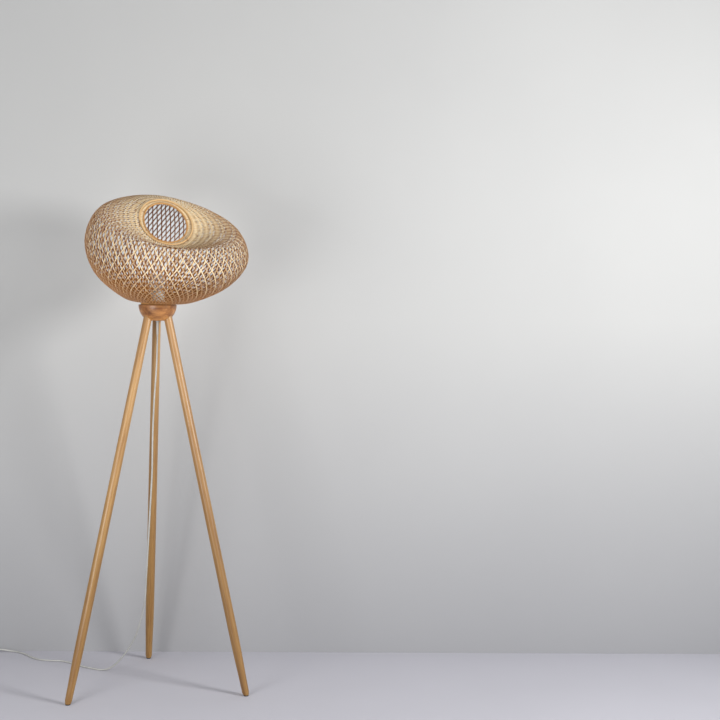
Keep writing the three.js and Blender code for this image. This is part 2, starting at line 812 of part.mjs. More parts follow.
function addSwitch(supply) {
  const group = new THREE.Group();
  group.position.set(switchPlace.x, switchPlace.y, 0);
  supply.add(group);
  const top = switchBaseHeight + clearance + switchCoverHeight;
  const split = switchBaseHeight;
  const entries = [-1, 1].map((side) => {
    const entry = rod(switchReliefRoot + clearance, 0, switchLength, smallFacets);
    entry.rotateY(side * Math.PI / 2);
    entry.translate(side * (switchLength / 2 - 2 * switchWall), 0, switchEntryHeight);
    return entry;
  });
  const screwHoles = switchScrewPlaces().map((x) => {
    const hole = rod(coverScrewRadius + clearance, -boreOverrun, top - switchWall, smallFacets);
    return hole.translate(x, 0, 0);
  });
  const headSeats = switchScrewPlaces().map((x) => {
    const high = coverScrewHeadHeight + 2 * clearance;
    return rod(coverScrewHead + clearance, -boreOverrun, high, smallFacets).translate(x, 0, 0);
  });
  const bosses = (low, high) => switchScrewPlaces().map((x) => {
    return rod(coverScrewBoss, low, high, smallFacets).translate(x, 0, 0);
  });

  const tray = cutFrom(switchBlock(0, 0, split, 0),
    [switchBlock(switchWall, switchWall, split + boreOverrun, 0)]);
  const base = joined([tray, ...bosses(switchWall / 2, split)]);
  part('switch_base', cutFrom(base, [...entries, ...screwHoles, ...headSeats]),
    whitePlasticFinish, group);

  const lid = switchBlock(0, -switchEdge, top, switchEdge);
  const underside = switchBlock(0, -2 * switchEdge, split + clearance, 0);
  const room = switchBlock(switchWall, -2 * switchEdge, top - switchWall, 0);
  const hollow = cutFrom(lid, [underside, room]);
  const lidBosses = joined([hollow, ...bosses(split + clearance, top - switchWall / 2)]);
  const well = rod(buttonRadius + clearance, split, top + boreOverrun);
  part('switch_cover', cutFrom(lidBosses, [...entries, ...screwHoles, well]),
    whitePlasticFinish, group);

  const collarHigh = top - switchWall - clearance;
  const collarLow = collarHigh - buttonCollar;
  part('switch_button', turned([
    [0, collarLow],
    [buttonRadius + buttonCollar, collarLow],
    [buttonRadius + buttonCollar, collarHigh],
    [buttonRadius, collarHigh],
    [buttonRadius, top + buttonProud - buttonEdge],
    [buttonRadius - buttonEdge, top + buttonProud],
    [0, top + buttonProud + buttonDome],
  ]), whitePlasticFinish, group);

  const blockHigh = switchWall + clearance + contactBlockHeight;
  const block = new THREE.BoxGeometry(contactBlockLength, contactBlockWidth, contactBlockHeight);
  block.translate(0, 0, blockHigh - contactBlockHeight / 2);
  part('switch_contact_block', welded(block), ceramicFinish, group);

  const springLow = blockHigh + clearance + springWire;
  const springHigh = collarLow - clearance - springWire;
  const springLine = [];
  const springSteps = springTurns * springStepsPerTurn;
  for (let i = 0; i <= springSteps; i += 1) {
    const share = i / springSteps;
    const angle = 2 * Math.PI * springTurns * share;
    const height = springLow + (springHigh - springLow) * share;
    springLine.push(new THREE.Vector3(
      springRadius * Math.cos(angle),
      springRadius * Math.sin(angle),
      height,
    ));
  }
  part('switch_spring', tubeThrough(springLine, springWire, springFacets, false), steelFinish, group);

  const shoulder = clearance + coverScrewHeadHeight;
  switchScrewPlaces().forEach((x, i) => {
    const screw = turned([
      [0, clearance],
      [coverScrewHead, clearance],
      [coverScrewHead, shoulder],
      [coverScrewRadius, shoulder],
      [coverScrewRadius, shoulder + coverScrewLength],
      [0, shoulder + coverScrewLength],
    ], smallFacets);
    part(`switch_screw_${i + 1}`, screw.translate(x, 0, 0), steelFinish, group);
  });

  for (const [name, side] of [['in', 1], ['out', -1]]) {
    const relief = taperedRelief(switchReliefLength, switchReliefRoot, 2 * switchWall);
    relief.rotateY(side * Math.PI / 2);
    relief.translate(side * (switchLength / 2 + clearance), 0, switchEntryHeight);
    part(`switch_relief_${name}`, relief, rubberFinish, group);
  }
}

// A strain relief along +Z: a neck that goes into its housing, then a taper to the cord.
function taperedRelief(length, root, neck) {
  return turned([
    [0, -neck],
    [root, -neck],
    [root, 0],
    [switchFlangeRadius, 0],
    [switchFlangeRadius, switchWall],
    [root, switchWall],
    [reliefTipRadius, length],
    [0, length],
  ], smallFacets);
}

const layerHeights = [cordRestHeight, cordRestHeight + coilSpacing];

// The coil's centre line: it winds in on the floor, climbs where it turns back, and winds out.
function coilLine() {
  const turns = 2 * coilLoopsPerLayer;
  const steps = turns * coilStepsPerLoop;
  const inner = coilMeanRadius - coilSpacing * coilLoopsPerLayer / 2;
  const points = [];
  for (let i = 0; i <= steps; i += 1) {
    const fromMiddle = (i - steps / 2) / coilStepsPerLoop;
    const angle = Math.PI + 2 * Math.PI * (i / coilStepsPerLoop);
    const radius = inner + coilSpacing * Math.abs(fromMiddle);
    const climb = THREE.MathUtils.smoothstep(fromMiddle, -coilClimbShare / 2, coilClimbShare / 2);
    const height = THREE.MathUtils.lerp(layerHeights[0], layerHeights[1], climb);
    points.push(new THREE.Vector3(
      coilCentre.x + radius * Math.cos(angle),
      coilCentre.y + radius * Math.sin(angle),
      height,
    ));
  }
  const ahead = new THREE.Vector3(0, -cordDiameter, 0);
  points.unshift(points[0].clone().sub(ahead));
  points.push(points[points.length - 1].clone().add(ahead));
  return points;
}

// The least gap between two stretches of a wound line that are over half a loop apart.
function leastGap(points, diameter, stepsPerLoop) {
  let least = Infinity;
  for (let i = 0; i < points.length; i += 1) {
    for (let j = i + stepsPerLoop / 2; j < points.length; j += 1) {
      least = Math.min(least, points[i].distanceTo(points[j]) - diameter);
    }
  }
  return least;
}

// A two-pin plug lying flat: the body widens from the cord to the pins.
function addPlug(supply, start) {
  const plug = new THREE.Group();
  plug.position.copy(start);
  plug.rotation.z = -Math.PI / 2;
  supply.add(plug);
  const relief = taperedRelief(plugReliefLength, plugReliefRoot, 2 * switchWall);
  relief.rotateY(-Math.PI / 2);
  relief.translate(clearance + plugReliefLength, 0, 0);
  part('plug_relief', relief, whitePlasticFinish, plug);

  const back = plugReliefLength + 2 * clearance;
  const outline = new THREE.Shape();
  outline.moveTo(back + plugEdge, -plugTailWidth / 2);
  outline.lineTo(back + plugLength / 2, -plugWidth / 2);
  outline.lineTo(back + plugLength, -plugWidth / 2);
  outline.lineTo(back + plugLength, plugWidth / 2);
  outline.lineTo(back + plugLength / 2, plugWidth / 2);
  outline.lineTo(back + plugEdge, plugTailWidth / 2);
  outline.closePath();
  const body = new THREE.ExtrudeGeometry(outline, {
    depth: plugThickness - 2 * plugEdge,
    bevelThickness: plugEdge,
    bevelSize: plugEdge,
    bevelOffset: -plugEdge,
    bevelSegments: 3,
  });
  body.translate(0, 0, plugEdge - plugThickness / 2);
  const neckHole = rod(plugReliefRoot + clearance, 0, 2 * switchWall + 2 * clearance, smallFacets);
  neckHole.rotateY(Math.PI / 2);
  neckHole.translate(back - clearance, 0, 0);
  const cuts = [neckHole];
  const face = back + plugLength;
  for (const side of [-1, 1]) {
    const hole = rod(pinRadius + clearance, 0, pinSeat + boreOverrun, smallFacets);
    hole.rotateY(Math.PI / 2);
    hole.translate(face - pinSeat, side * pinSpacing / 2, 0);
    cuts.push(hole);
    const pin = chamferedRod(pinRadius, 0, pinSeat + pinLength, pinTip, smallFacets);
    pin.rotateY(Math.PI / 2);
    pin.translate(face - pinSeat + clearance, side * pinSpacing / 2, 0);
    part(side < 0 ? 'plug_pin_left' : 'plug_pin_right', pin, brassFinish, plug);
  }
  part('plug_body', cutFrom(body, cuts), whitePlasticFinish, plug);
}

// The supply cord: down from the hub, over the floor to the foot switch, then coiled.
function addCord(supply) {
  const switchEnd = switchLength / 2 + clearance + switchReliefLength + clearance;
  const inlet = switchPlace.x + switchEnd;
  const outlet = switchPlace.x - switchEnd;
  const drop = [
    [0, 0, cordExitHeight - clearance], [0, 0, 1040], [-2, 2, 960], [-8, 6, 860], [-12, 12, 750],
    [-13, 18, 640], [-18, 27, 530], [-23, 39, 420], [-28, 56, 320], [-32, 74, 240], [-43, 90, 180],
    [-60, 106, 122], [-82, 124, 78], [-106, 140, 42], [-130, 153, 17], [-149, 162, 6],
    [-168, 170, cordRestHeight], [-200, 192, cordRestHeight], [-232, 221, cordRestHeight],
    [-262, 254, cordRestHeight],
    [-294, 280, cordRestHeight], [-330, 288, cordRestHeight], [-364, 303, cordRestHeight],
    [-392, 334, cordRestHeight], [-416, 372, cordRestHeight], [-443, 400, cordRestHeight],
    [-468, 409, 4.5], [-484, switchPlace.y, 7.5], [-496, switchPlace.y, 8.9],
    [inlet, switchPlace.y, switchEntryHeight],
  ].map((place) => new THREE.Vector3(...place));
  part('cord_drop', cordAlong(drop, 66), cordFinish, supply);

  const line = coilLine();
  const coilStart = line[0];
  const coilEnd = line[line.length - 1];
  console.log('coil: least gap to itself', leastGap(line, cordDiameter, coilStepsPerLoop).toFixed(2), 'mm');
  part('cord_coil', tubeThrough(line, cordRadius, coilFacets, false), cordFinish, supply);

  const link = [
    [outlet, switchPlace.y, switchEntryHeight], [-627, switchPlace.y - 0.5, 8.6], [-636, 405, 6.5],
    [-642.5, 395, 4.2], [coilStart.x, 381, cordRestHeight], [coilStart.x, 366, cordRestHeight],
    [coilStart.x, 352, cordRestHeight],
    [coilStart.x, coilStart.y + clearance, cordRestHeight],
  ].map((place) => new THREE.Vector3(...place));
  part('cord_link', cordAlong(link, 8), cordFinish, supply);

  const tail = [
    [coilEnd.x, coilEnd.y - clearance, coilEnd.z], [coilEnd.x, coilEnd.y - 14, coilEnd.z - 0.5],
    [coilEnd.x, coilEnd.y - 28, plugThickness / 2],
    [coilEnd.x, coilEnd.y - tailLength, plugThickness / 2],
  ].map((place) => new THREE.Vector3(...place));
  part('cord_tail', cordAlong(tail, 5), cordFinish, supply);
  const plugStart = tail[tail.length - 1].clone();
  plugStart.y -= clearance;
  addPlug(supply, plugStart);
}

const lamp = new THREE.Group();
const supply = new THREE.Group();
const standing = new THREE.Group();
lamp.add(standing, supply);
part('hub_bowl', hubGeometry(), walnutFinish, standing);
addLegs(standing);
addCordEntry(standing);
addHolder(standing);
addBulb(standing);
addShade(standing);
addCord(supply);
addSwitch(supply);

// The origin is on the floor, in the middle of the standing lamp's plan box.
standing.updateMatrixWorld(true);
const middle = new THREE.Box3().setFromObject(standing, true).getCenter(new THREE.Vector3());
lamp.position.set(-middle.x, -middle.y, 0);

export default lamp;
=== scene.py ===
import math
import random

import bmesh
import bpy
import numpy as np
from mathutils import Matrix, Vector


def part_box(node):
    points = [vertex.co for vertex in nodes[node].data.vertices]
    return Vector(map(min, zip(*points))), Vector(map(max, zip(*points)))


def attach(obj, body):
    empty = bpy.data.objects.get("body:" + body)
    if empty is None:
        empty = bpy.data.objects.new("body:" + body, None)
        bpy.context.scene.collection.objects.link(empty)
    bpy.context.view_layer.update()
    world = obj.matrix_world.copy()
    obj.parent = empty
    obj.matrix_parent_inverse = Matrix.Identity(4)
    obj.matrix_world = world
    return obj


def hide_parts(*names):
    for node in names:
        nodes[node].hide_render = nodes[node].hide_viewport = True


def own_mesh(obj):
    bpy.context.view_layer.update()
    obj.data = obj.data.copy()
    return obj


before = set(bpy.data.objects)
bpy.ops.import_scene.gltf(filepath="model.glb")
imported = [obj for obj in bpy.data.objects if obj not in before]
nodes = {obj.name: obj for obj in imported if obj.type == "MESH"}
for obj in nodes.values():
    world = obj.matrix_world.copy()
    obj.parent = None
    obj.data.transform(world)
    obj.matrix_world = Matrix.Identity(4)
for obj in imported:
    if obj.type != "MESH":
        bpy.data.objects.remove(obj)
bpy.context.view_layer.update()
lampBody, bulbBody = "lamp_body", "bulb"

# the lamp's sizes are in millimetres; materials, the stage and its lamps are in metres
mm = 0.001
clearance = 0.3

# the lamp's axis runs through the middle of the hub
hubLow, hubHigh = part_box("hub_bowl")
hubTop = hubHigh.z / mm
hubBottom = hubLow.z / mm
axis = Matrix.Translation(((hubLow.x + hubHigh.x) / 2, (hubLow.y + hubHigh.y) / 2, 0))


def placed(x=0, y=0, z=0):
    # a place from the lamp's axis on the floor
    return axis @ Matrix.Translation((x * mm, y * mm, z * mm))


# camera at the photograph's angle: eye height, turned a little to the right
cameraFacts = {"x": 0, "y": -4000, "z": 1208, "yaw": 8.63, "pitch": -3.19, "roll": 0.91,
               "lens": 66.9, "sensor": 36, "clipEnd": 50}


def makeCamera(facts):
    yaw, pitch, roll = (math.radians(facts[key]) for key in ("yaw", "pitch", "roll"))
    forward = Vector((math.sin(yaw) * math.cos(pitch), math.cos(yaw) * math.cos(pitch),
                      math.sin(pitch)))
    level = Vector((math.cos(yaw), -math.sin(yaw), 0))
    upright = level.cross(forward)
    right = level * math.cos(roll) + upright * math.sin(roll)
    up = upright * math.cos(roll) - level * math.sin(roll)
    data = bpy.data.cameras.new("camera")
    data.lens = facts["lens"]
    data.sensor_width = facts["sensor"]
    data.clip_end = facts["clipEnd"]
    camera = bpy.data.objects.new("camera", data)
    turn = Matrix((right, up, -forward)).transposed().to_4x4()
    camera.matrix_world = placed(facts["x"], facts["y"], facts["z"]) @ turn
    bpy.context.collection.objects.link(camera)
    bpy.context.scene.camera = camera


makeCamera(cameraFacts)
print("camera made")


class Socket:
    # a node's output; a sum on it adds a Math node to the same tree
    def __init__(self, owner, socket):
        self.owner = owner
        self.socket = socket

    def combined(self, operation, left, right):
        return self.owner.node("ShaderNodeMath", {"operation": operation}, {0: left, 1: right})

    def __add__(self, other):
        return self.combined("ADD", self, other)

    def __radd__(self, other):
        return self.combined("ADD", other, self)

    def __sub__(self, other):
        return self.combined("SUBTRACT", self, other)

    def __rsub__(self, other):
        return self.combined("SUBTRACT", other, self)

    def __mul__(self, other):
        return self.combined("MULTIPLY", self, other)

    def __rmul__(self, other):
        return self.combined("MULTIPLY", other, self)


class NodeTree:
    def __init__(self, tree):
        self.tree = tree

    def node(self, kind, settings=None, inputs=None, output=0):
        made = self.tree.nodes.new(kind)
        for key, value in (settings or {}).items():
            setattr(made, key, value)
        for key, value in (inputs or {}).items():
            self.join(value, made.inputs[key])
        return Socket(self, made.outputs[output])

    def join(self, value, target):
        if isinstance(value, Socket):
            self.tree.links.new(value.socket, target)
        else:
            target.default_value = value

    def spread(self, value, low, high, toLow=0.0, toHigh=1.0):
        # runs from toLow to toHigh as the value runs from low to high, and no further
        return self.node("ShaderNodeMapRange", {"clamp": True}, {
            "Value": value, "From Min": low, "From Max": high, "To Min": toLow, "To Max": toHigh})


class Shader(NodeTree):
    def __init__(self, name, **constants):
        self.material = bpy.data.materials.new(name)
        self.material.use_nodes = True
        super().__init__(self.material.node_tree)
        self.surface = self.tree.nodes["Principled BSDF"]
        for key, value in constants.items():
            self.surface.inputs[key.replace("_", " ")].default_value = value

    def into(self, **values):
        for key, value in values.items():
            self.join(value, self.surface.inputs[key.replace("_", " ")])
        return self

    def here(self):
        return self.node("ShaderNodeTexCoord", output="Object")

    def height(self):
        return self.node("ShaderNodeSeparateXYZ", {}, {0: self.here()}, output="Z")

    def place(self, scale, move=(0, 0, 0)):
        return self.node("ShaderNodeMapping", {}, {
            "Vector": self.here(), "Location": move, "Scale": scale})

    def vector(self, x, y, z):
        return self.node("ShaderNodeCombineXYZ", {}, {0: x, 1: y, 2: z})

    def noise(self, vector, detail=3, rough=0.55, distort=0.0):
        return self.node("ShaderNodeTexNoise", {"noise_dimensions": "3D"}, {
            "Vector": vector, "Scale": 1.0, "Detail": detail, "Roughness": rough, "Distortion": distort})

    def mix(self, share, first, second, blend="MIX"):
        return self.node("ShaderNodeMix", {"data_type": "RGBA", "blend_type": blend},
                         {0: share, 6: first, 7: second}, output=2)

    def attribute(self, name):
        return self.node("ShaderNodeAttribute", {"attribute_name": name}, output="Fac")

    def bump(self, height, depth, strength):
        return self.node("ShaderNodeBump", {}, {
            "Height": height, "Distance": depth, "Strength": strength})


def color(red, green, blue):
    # a colour written as on the screen, turned into light
    def linear(value):
        share = value / 255
        return share / 12.92 if share <= 0.04045 else ((share + 0.055) / 1.055) ** 2.4
    return (linear(red), linear(green), linear(blue), 1)


def even(scale):
    return (scale, scale, scale)


def woodShader(name, facts, seed):
    # grain and pores are scales along x, y and z; tones run from light to dark
    shader = Shader(name, Coat_Weight=0.3, Coat_Roughness=0.28, Specular_IOR_Level=0.5)
    move = (seed * 3.1, seed * 1.7, seed * 0.9)
    broadGrain = tuple(scale * 0.35 for scale in facts["grain"])
    broad = shader.noise(shader.place(broadGrain, move), detail=2, distort=0.6)
    streak = shader.noise(shader.place(facts["grain"], move), detail=5, rough=0.6, distort=0.25)
    fine = shader.noise(shader.place(facts["pores"], move), detail=2, rough=0.5)
    light, middle, dark = facts["tones"]
    base = shader.mix(shader.spread(streak, 0.36, 0.66), light, middle)
    base = shader.mix(shader.spread(broad, 0.5, 0.72, 0, 0.55), base, dark)
    base = shader.mix(shader.spread(fine, 0.56, 0.68, 0, 0.45), base, dark)
    # painted shade: the wood darkens down the leg, as the light falls off near the floor
    if "lowShade" in facts:
        lower = shader.spread(shader.height(), *facts["stainHeights"])
        base = shader.mix(lower, base, facts["lowShade"], "MULTIPLY")
    rough = shader.spread(fine, 0.4, 0.7, facts["roughness"], facts["roughness"] + 0.16)
    normal = shader.bump(fine * -0.5 + streak * 0.5, 0.0004, 0.35)
    return shader.into(Base_Color=base, Roughness=rough, Normal=normal).material


def stripShader(name, facts, seed):
    # split bamboo: along and across are the strip's own length and width, tone its own shade,
    # skin is 1 on the cane's outer face and 0 on its pith side, and rise is its place in the shade
    shader = Shader(name, Coat_Roughness=0.3, Specular_IOR_Level=0.1)
    marks = ("along", "across", "tone", "skin", "rise")
    along, across, tone, skin, rise = (shader.attribute(mark) for mark in marks)
    blotch = shader.noise(shader.vector(along * 26 + tone * 71, across * 2.6, tone * 37 + seed))
    fibre = shader.noise(shader.vector(along * 60, across * 22, tone * 53 + seed), detail=4, rough=0.6)
    light, middle, dark, shadedPith, foot = facts["tones"]

    # the crown is painted lighter, as light falling on it from above, and below it every second strip is
    # dark
    base = shader.mix(tone * 0.4 + shader.spread(rise, 0.75, 0.55, 0, 0.2), light, middle)
    second = shader.spread(tone, 0.48, 0.52, 0, 0.5)
    base = shader.mix(second * shader.spread(rise, 0.75, 0.6), base, dark)
    base = shader.mix(shader.spread(blotch, 0.45, 0.75, 0, 0.6), base, middle)
    base = shader.mix(shader.spread(fibre, 0.5, 0.75, 0, 0.55), base, dark)

    # the cane's joints, and painted shade: the dark edges, the pith side and the darker foot of the
    # shade
    cane = shader.node("ShaderNodeMath", {"operation": "FRACT"}, {0: along * 3.1 + tone * 17})
    joint = shader.spread(cane, 0.965, 0.985) - shader.spread(cane, 0.985, 1.0)
    base = shader.mix(joint * 0.7, base, dark)
    # the strips' edges are painted dark, as shade beside each strip
    offCentre = across - 0.5
    base = shader.mix(shader.spread(offCentre * offCentre, 0.1, 0.25, 0, facts["edge"]), base, dark)
    # the pith side is painted dark brown: partly the cane's own colour, partly shade inside the shade
    base = shader.mix(shader.spread(skin, 0.95, 0.2, 0, 0.9), base, shadedPith)
    # the shade's foot is painted darker and more orange, as shade under its belly
    base = shader.mix(shader.spread(rise, 0.42, 0.18, 0, facts["stain"]), base, foot)
    rough = shader.spread(fibre, 0.3, 0.7, facts["shine"], facts["shine"] + 0.2)
    return shader.into(Base_Color=base, Roughness=rough, Coat_Weight=skin * facts["coat"],
                       Normal=shader.bump(fibre - joint, 0.0002, 0.5)).material


def metalShader(name, tint, dark, roughness):
    # fine lines drawn along the piece, and a cloudier tone
    shader = Shader(name, Metallic=1.0)
    lines = shader.noise(shader.place((900, 900, 30)))
    cloud = shader.noise(shader.place(even(60)))
    base = shader.mix(shader.spread(cloud, 0.4, 0.75, 0, 0.7), tint, dark)
    rough = shader.spread(lines, 0.3, 0.7, roughness - 0.06, roughness + 0.12)
    return shader.into(Base_Color=base, Roughness=rough, Normal=shader.bump(lines, 0.0001, 0.3)).material


def mouldedShader(name, tint, dark, roughness, grit=2600, depth=0.00005, **constants):
    # grit is how fine the surface's grain is, and depth how deep, in metres
    shader = Shader(name, **constants)
    cloud = shader.noise(shader.place(even(35)), detail=2)
    fine = shader.noise(shader.place(even(grit)), detail=2)
    base = shader.mix(shader.spread(cloud, 0.35, 0.7, 0, 0.6), tint, dark)
    rough = shader.spread(fine, 0.3, 0.7, roughness - 0.05, roughness + 0.08)
    return shader.into(Base_Color=base, Roughness=rough, Normal=shader.bump(fine, depth, 0.5)).material


def thinGlassShader(name, tint, cloudy, facing, rim):
    # a blown wall too thin to bend the light: clear face on, and painted milky where it turns away, as
    # its reflection at a glancing angle
    shader = Shader(name, Roughness=0.2, Coat_Weight=0.6, Coat_Roughness=0.05)
    turned = shader.node("ShaderNodeLayerWeight", {}, {"Blend": 0.35}, output="Facing")
    cloud = shader.noise(shader.place(even(60)), detail=2)
    base = shader.mix(shader.spread(cloud, 0.35, 0.7, 0, 0.3), tint, cloudy)
    return shader.into(Base_Color=base, Alpha=shader.spread(turned, 0, 1, facing, rim)).material


# wood: the legs are painted a little darker towards their feet, as shade where the light falls off near
# the floor
legWoodFacts = {"grain": (95, 95, 3.2), "pores": (620, 620, 16), "roughness": 0.42,
                "tones": (color(194, 152, 98), color(166, 122, 70), color(112, 72, 34)),
                "lowShade": color(221, 216, 190), "stainHeights": (-0.15, -0.75)}
hubWoodFacts = {"grain": (6, 70, 60), "pores": (30, 520, 520), "roughness": 0.4,
                "tones": (color(196, 136, 76), color(130, 78, 34), color(70, 38, 14))}

# bamboo: the tones are light, middle, dark, pith and foot; the foot tone and the dark edges are painted
# shade, and the pith tone is partly painted shade
weaveFacts = {"shine": 0.5, "coat": 0.35, "edge": 0.7, "stain": 0.85, "tones": (
    color(255, 240, 200), color(228, 174, 100), color(122, 64, 14), color(120, 58, 8),
    color(176, 118, 62))}
caneFacts = {"shine": 0.4, "coat": 0.1, "edge": 0, "stain": 0, "tones": (
    color(208, 160, 100), color(176, 120, 64), color(112, 68, 32), color(112, 68, 32),
    color(176, 120, 64))}
paleCaneFacts = {"shine": 0.35, "coat": 0.1, "edge": 0, "stain": 0, "tones": (
    color(220, 186, 138), color(204, 166, 114), color(146, 102, 58), color(130, 84, 44),
    color(204, 166, 114))}

zinc = metalShader("zinc", color(196, 198, 200), color(160, 162, 166), 0.32)
brass = metalShader("brass", color(212, 178, 104), color(170, 132, 66), 0.3)
whitePlastic = mouldedShader("white_plastic", color(232, 230, 224), color(220, 217, 208), 0.38)
steatite = mouldedShader("steatite", color(240, 237, 230), color(226, 220, 208), 0.25, Coat_Weight=0.5)
darkGlass = mouldedShader("dark_insulator", color(34, 32, 36), color(20, 19, 22), 0.22)
clearVinyl = mouldedShader("clear_vinyl", color(190, 190, 184), color(164, 164, 158), 0.3, grit=900,
                           depth=0.00008, Coat_Weight=0.3, Coat_Roughness=0.2)
padRubber = mouldedShader("pad_rubber", color(52, 48, 44), color(36, 33, 30), 0.75, grit=1800,
                          depth=0.0001)
globeGlass = thinGlassShader("globe_glass", color(240, 243, 241), color(226, 230, 228),
                             facing=0.03, rim=0.3)
tungsten = metalShader("tungsten", color(120, 118, 116), color(84, 82, 80), 0.4)
bamboo = stripShader("bamboo_strip", weaveFacts, seed=0)
bambooHoop = stripShader("bamboo_hoop", caneFacts, seed=5)
paleHoop = stripShader("pale_hoop", paleCaneFacts, seed=9)
print("materials made")


def addPiece(name, data, body, replaced, material, at):
    # puts a mesh or a curve on its body, in place of the solids that it replaces
    data.materials.append(material)
    piece = bpy.data.objects.new(name, data)
    bpy.context.collection.objects.link(piece)
    piece.matrix_world = at
    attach(piece, body)
    if replaced:
        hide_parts(*replaced)
    return piece


sharpEdge = math.radians(40)


def smoothPiece(name, work, body, replaced, material, at):
    # a piece that is smooth but for its sharp edges
    bmesh.ops.recalc_face_normals(work, faces=work.faces)
    for face in work.faces:
        face.smooth = True
    for edge in work.edges:
        if edge.is_manifold and edge.calc_face_angle(0) > sharpEdge:
            edge.smooth = False
    data = bpy.data.meshes.new(name)
    work.to_mesh(data)
    work.free()
    return addPiece(name, data, body, replaced, material, at)


def wheel(count):
    return [2 * math.pi * k / count for k in range(count)]


def onCircle(radius, angle, height):
    return (radius * mm * math.cos(angle), radius * mm * math.sin(angle), height * mm)


def joinRows(work, rows, closed=False, capped=False):
    # faces between rows of corners that run once round; a row of one corner is a tip
    pairs = list(zip(rows, rows[1:])) + ([(rows[-1], rows[0])] if closed else [])
    for low, high in pairs:
        count = max(len(low), len(high))
        for k in range(count):
            n = (k + 1) % count
            if len(low) == 1:
                work.faces.new((low[0], high[n], high[k]))
            elif len(high) == 1:
                work.faces.new((low[k], low[n], high[0]))
            else:
                work.faces.new((low[k], low[n], high[n], high[k]))
    if capped:
        work.faces.new(tuple(reversed(rows[0])))
        work.faces.new(tuple(rows[-1]))
    return work


def revolved(profile, sides=64):
    # profile is radius and height; one that ends where it began is a ring
    closed = profile[0] == profile[-1]
    work = bmesh.new()
    rows = []
    for radius, height in (profile[:-1] if closed else profile):
        angles = wheel(sides) if radius else [0]
        rows.append([work.verts.new(onCircle(radius, angle, height)) for angle in angles])
    return joinRows(work, rows, closed=closed)


def wire(work, line, width, sides=6):
    # a round wire along the line, closed at both ends; across is a way that no line runs
    across = Vector((0, 1, 0.01))
    rows = []
    for i, point in enumerate(line):
        ahead = (line[min(i + 1, len(line) - 1)] - line[max(i - 1, 0)]).normalized()
        side = ahead.cross(across).normalized()
        up = ahead.cross(side)
        rows.append([work.verts.new((point + (side * math.cos(a) + up * math.sin(a)) * width / 2) * mm)
                     for a in wheel(sides)])
    joinRows(work, rows, capped=True)


# the foot switch's spring, which shortens under its button
springFacts = {"turns": 5, "perTurn": 16, "wire": 1, "sides": 8, "travel": 3}


def springMesh(facts, low, high):
    # wound about its own middle, and standing on its low end
    radius = (high.x - low.x) / mm / 2 - facts["wire"] / 2
    height = (high.z - low.z) / mm - facts["wire"]
    steps = facts["turns"] * facts["perTurn"]
    line = []
    for i in range(steps + 1):
        angle = 2 * math.pi * i / facts["perTurn"]
        rise = facts["wire"] / 2 + height * i / steps
        line.append(Vector((radius * math.cos(angle), radius * math.sin(angle), rise)))
    work = bmesh.new()
    wire(work, line, facts["wire"], facts["sides"])
    return work


springLow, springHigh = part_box("switch_spring")
springFoot = Vector(((springLow.x + springHigh.x) / 2, (springLow.y + springHigh.y) / 2, springLow.z))
spring = smoothPiece("button_spring", springMesh(springFacts, springLow, springHigh), lampBody,
                     ["switch_spring"], zinc, Matrix.Translation(springFoot))
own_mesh(spring)
print("spring made")


def centripetal(points, perSpan):
    # the same smooth curve through the points as the solids use
    leastSpan = 1e-4
    points = [Vector(p) for p in points]
    run = [points[0] * 2 - points[1]] + points + [points[-1] * 2 - points[-2]]
    line = []
    for i in range(len(points) - 1):
        a, b, c, d = run[i:i + 4]
        ab, bc, cd = (max((q - p).length ** 0.5, leastSpan) for p, q in ((a, b), (b, c), (c, d)))
        leave = ((b - a) / ab - (c - a) / (ab + bc) + (c - b) / bc) * bc
        arrive = ((c - b) / bc - (d - b) / (bc + cd) + (d - c) / cd) * bc
        for j in range(perSpan):
            t = j / perSpan
            line.append(b + leave * t + (c * 3 - b * 3 - leave * 2 - arrive) * t ** 2
                        + (b * 2 - c * 2 + leave + arrive) * t ** 3)
    return line + [points[-1]]


def cordPiece(name, line, facts):
    # line runs from the lamp's axis on the floor
    line = [axis @ (point * mm) for point in line]
    length = sum((q - p).length for p, q in zip(line, line[1:]))
    data = bpy.data.curves.new(name, "CURVE")
    data.dimensions = "3D"
    run = data.splines.new("POLY")
    run.points.add(len(line) - 1)
    for point, place in zip(run.points, line):
        point.co = (*place, 1)
    run.use_smooth = True
    data.bevel_depth = facts["diameter"] * mm / 2
    data.bevel_resolution = 3
    data.use_fill_caps = True
    cord = addPiece(name, data, lampBody, facts["replaces"], clearVinyl, Matrix())
    facts["diameter"] * mm
    print(name, "is", round(length, 3), "m long")


def solids(*names):
    return [nodes[name] for name in names]


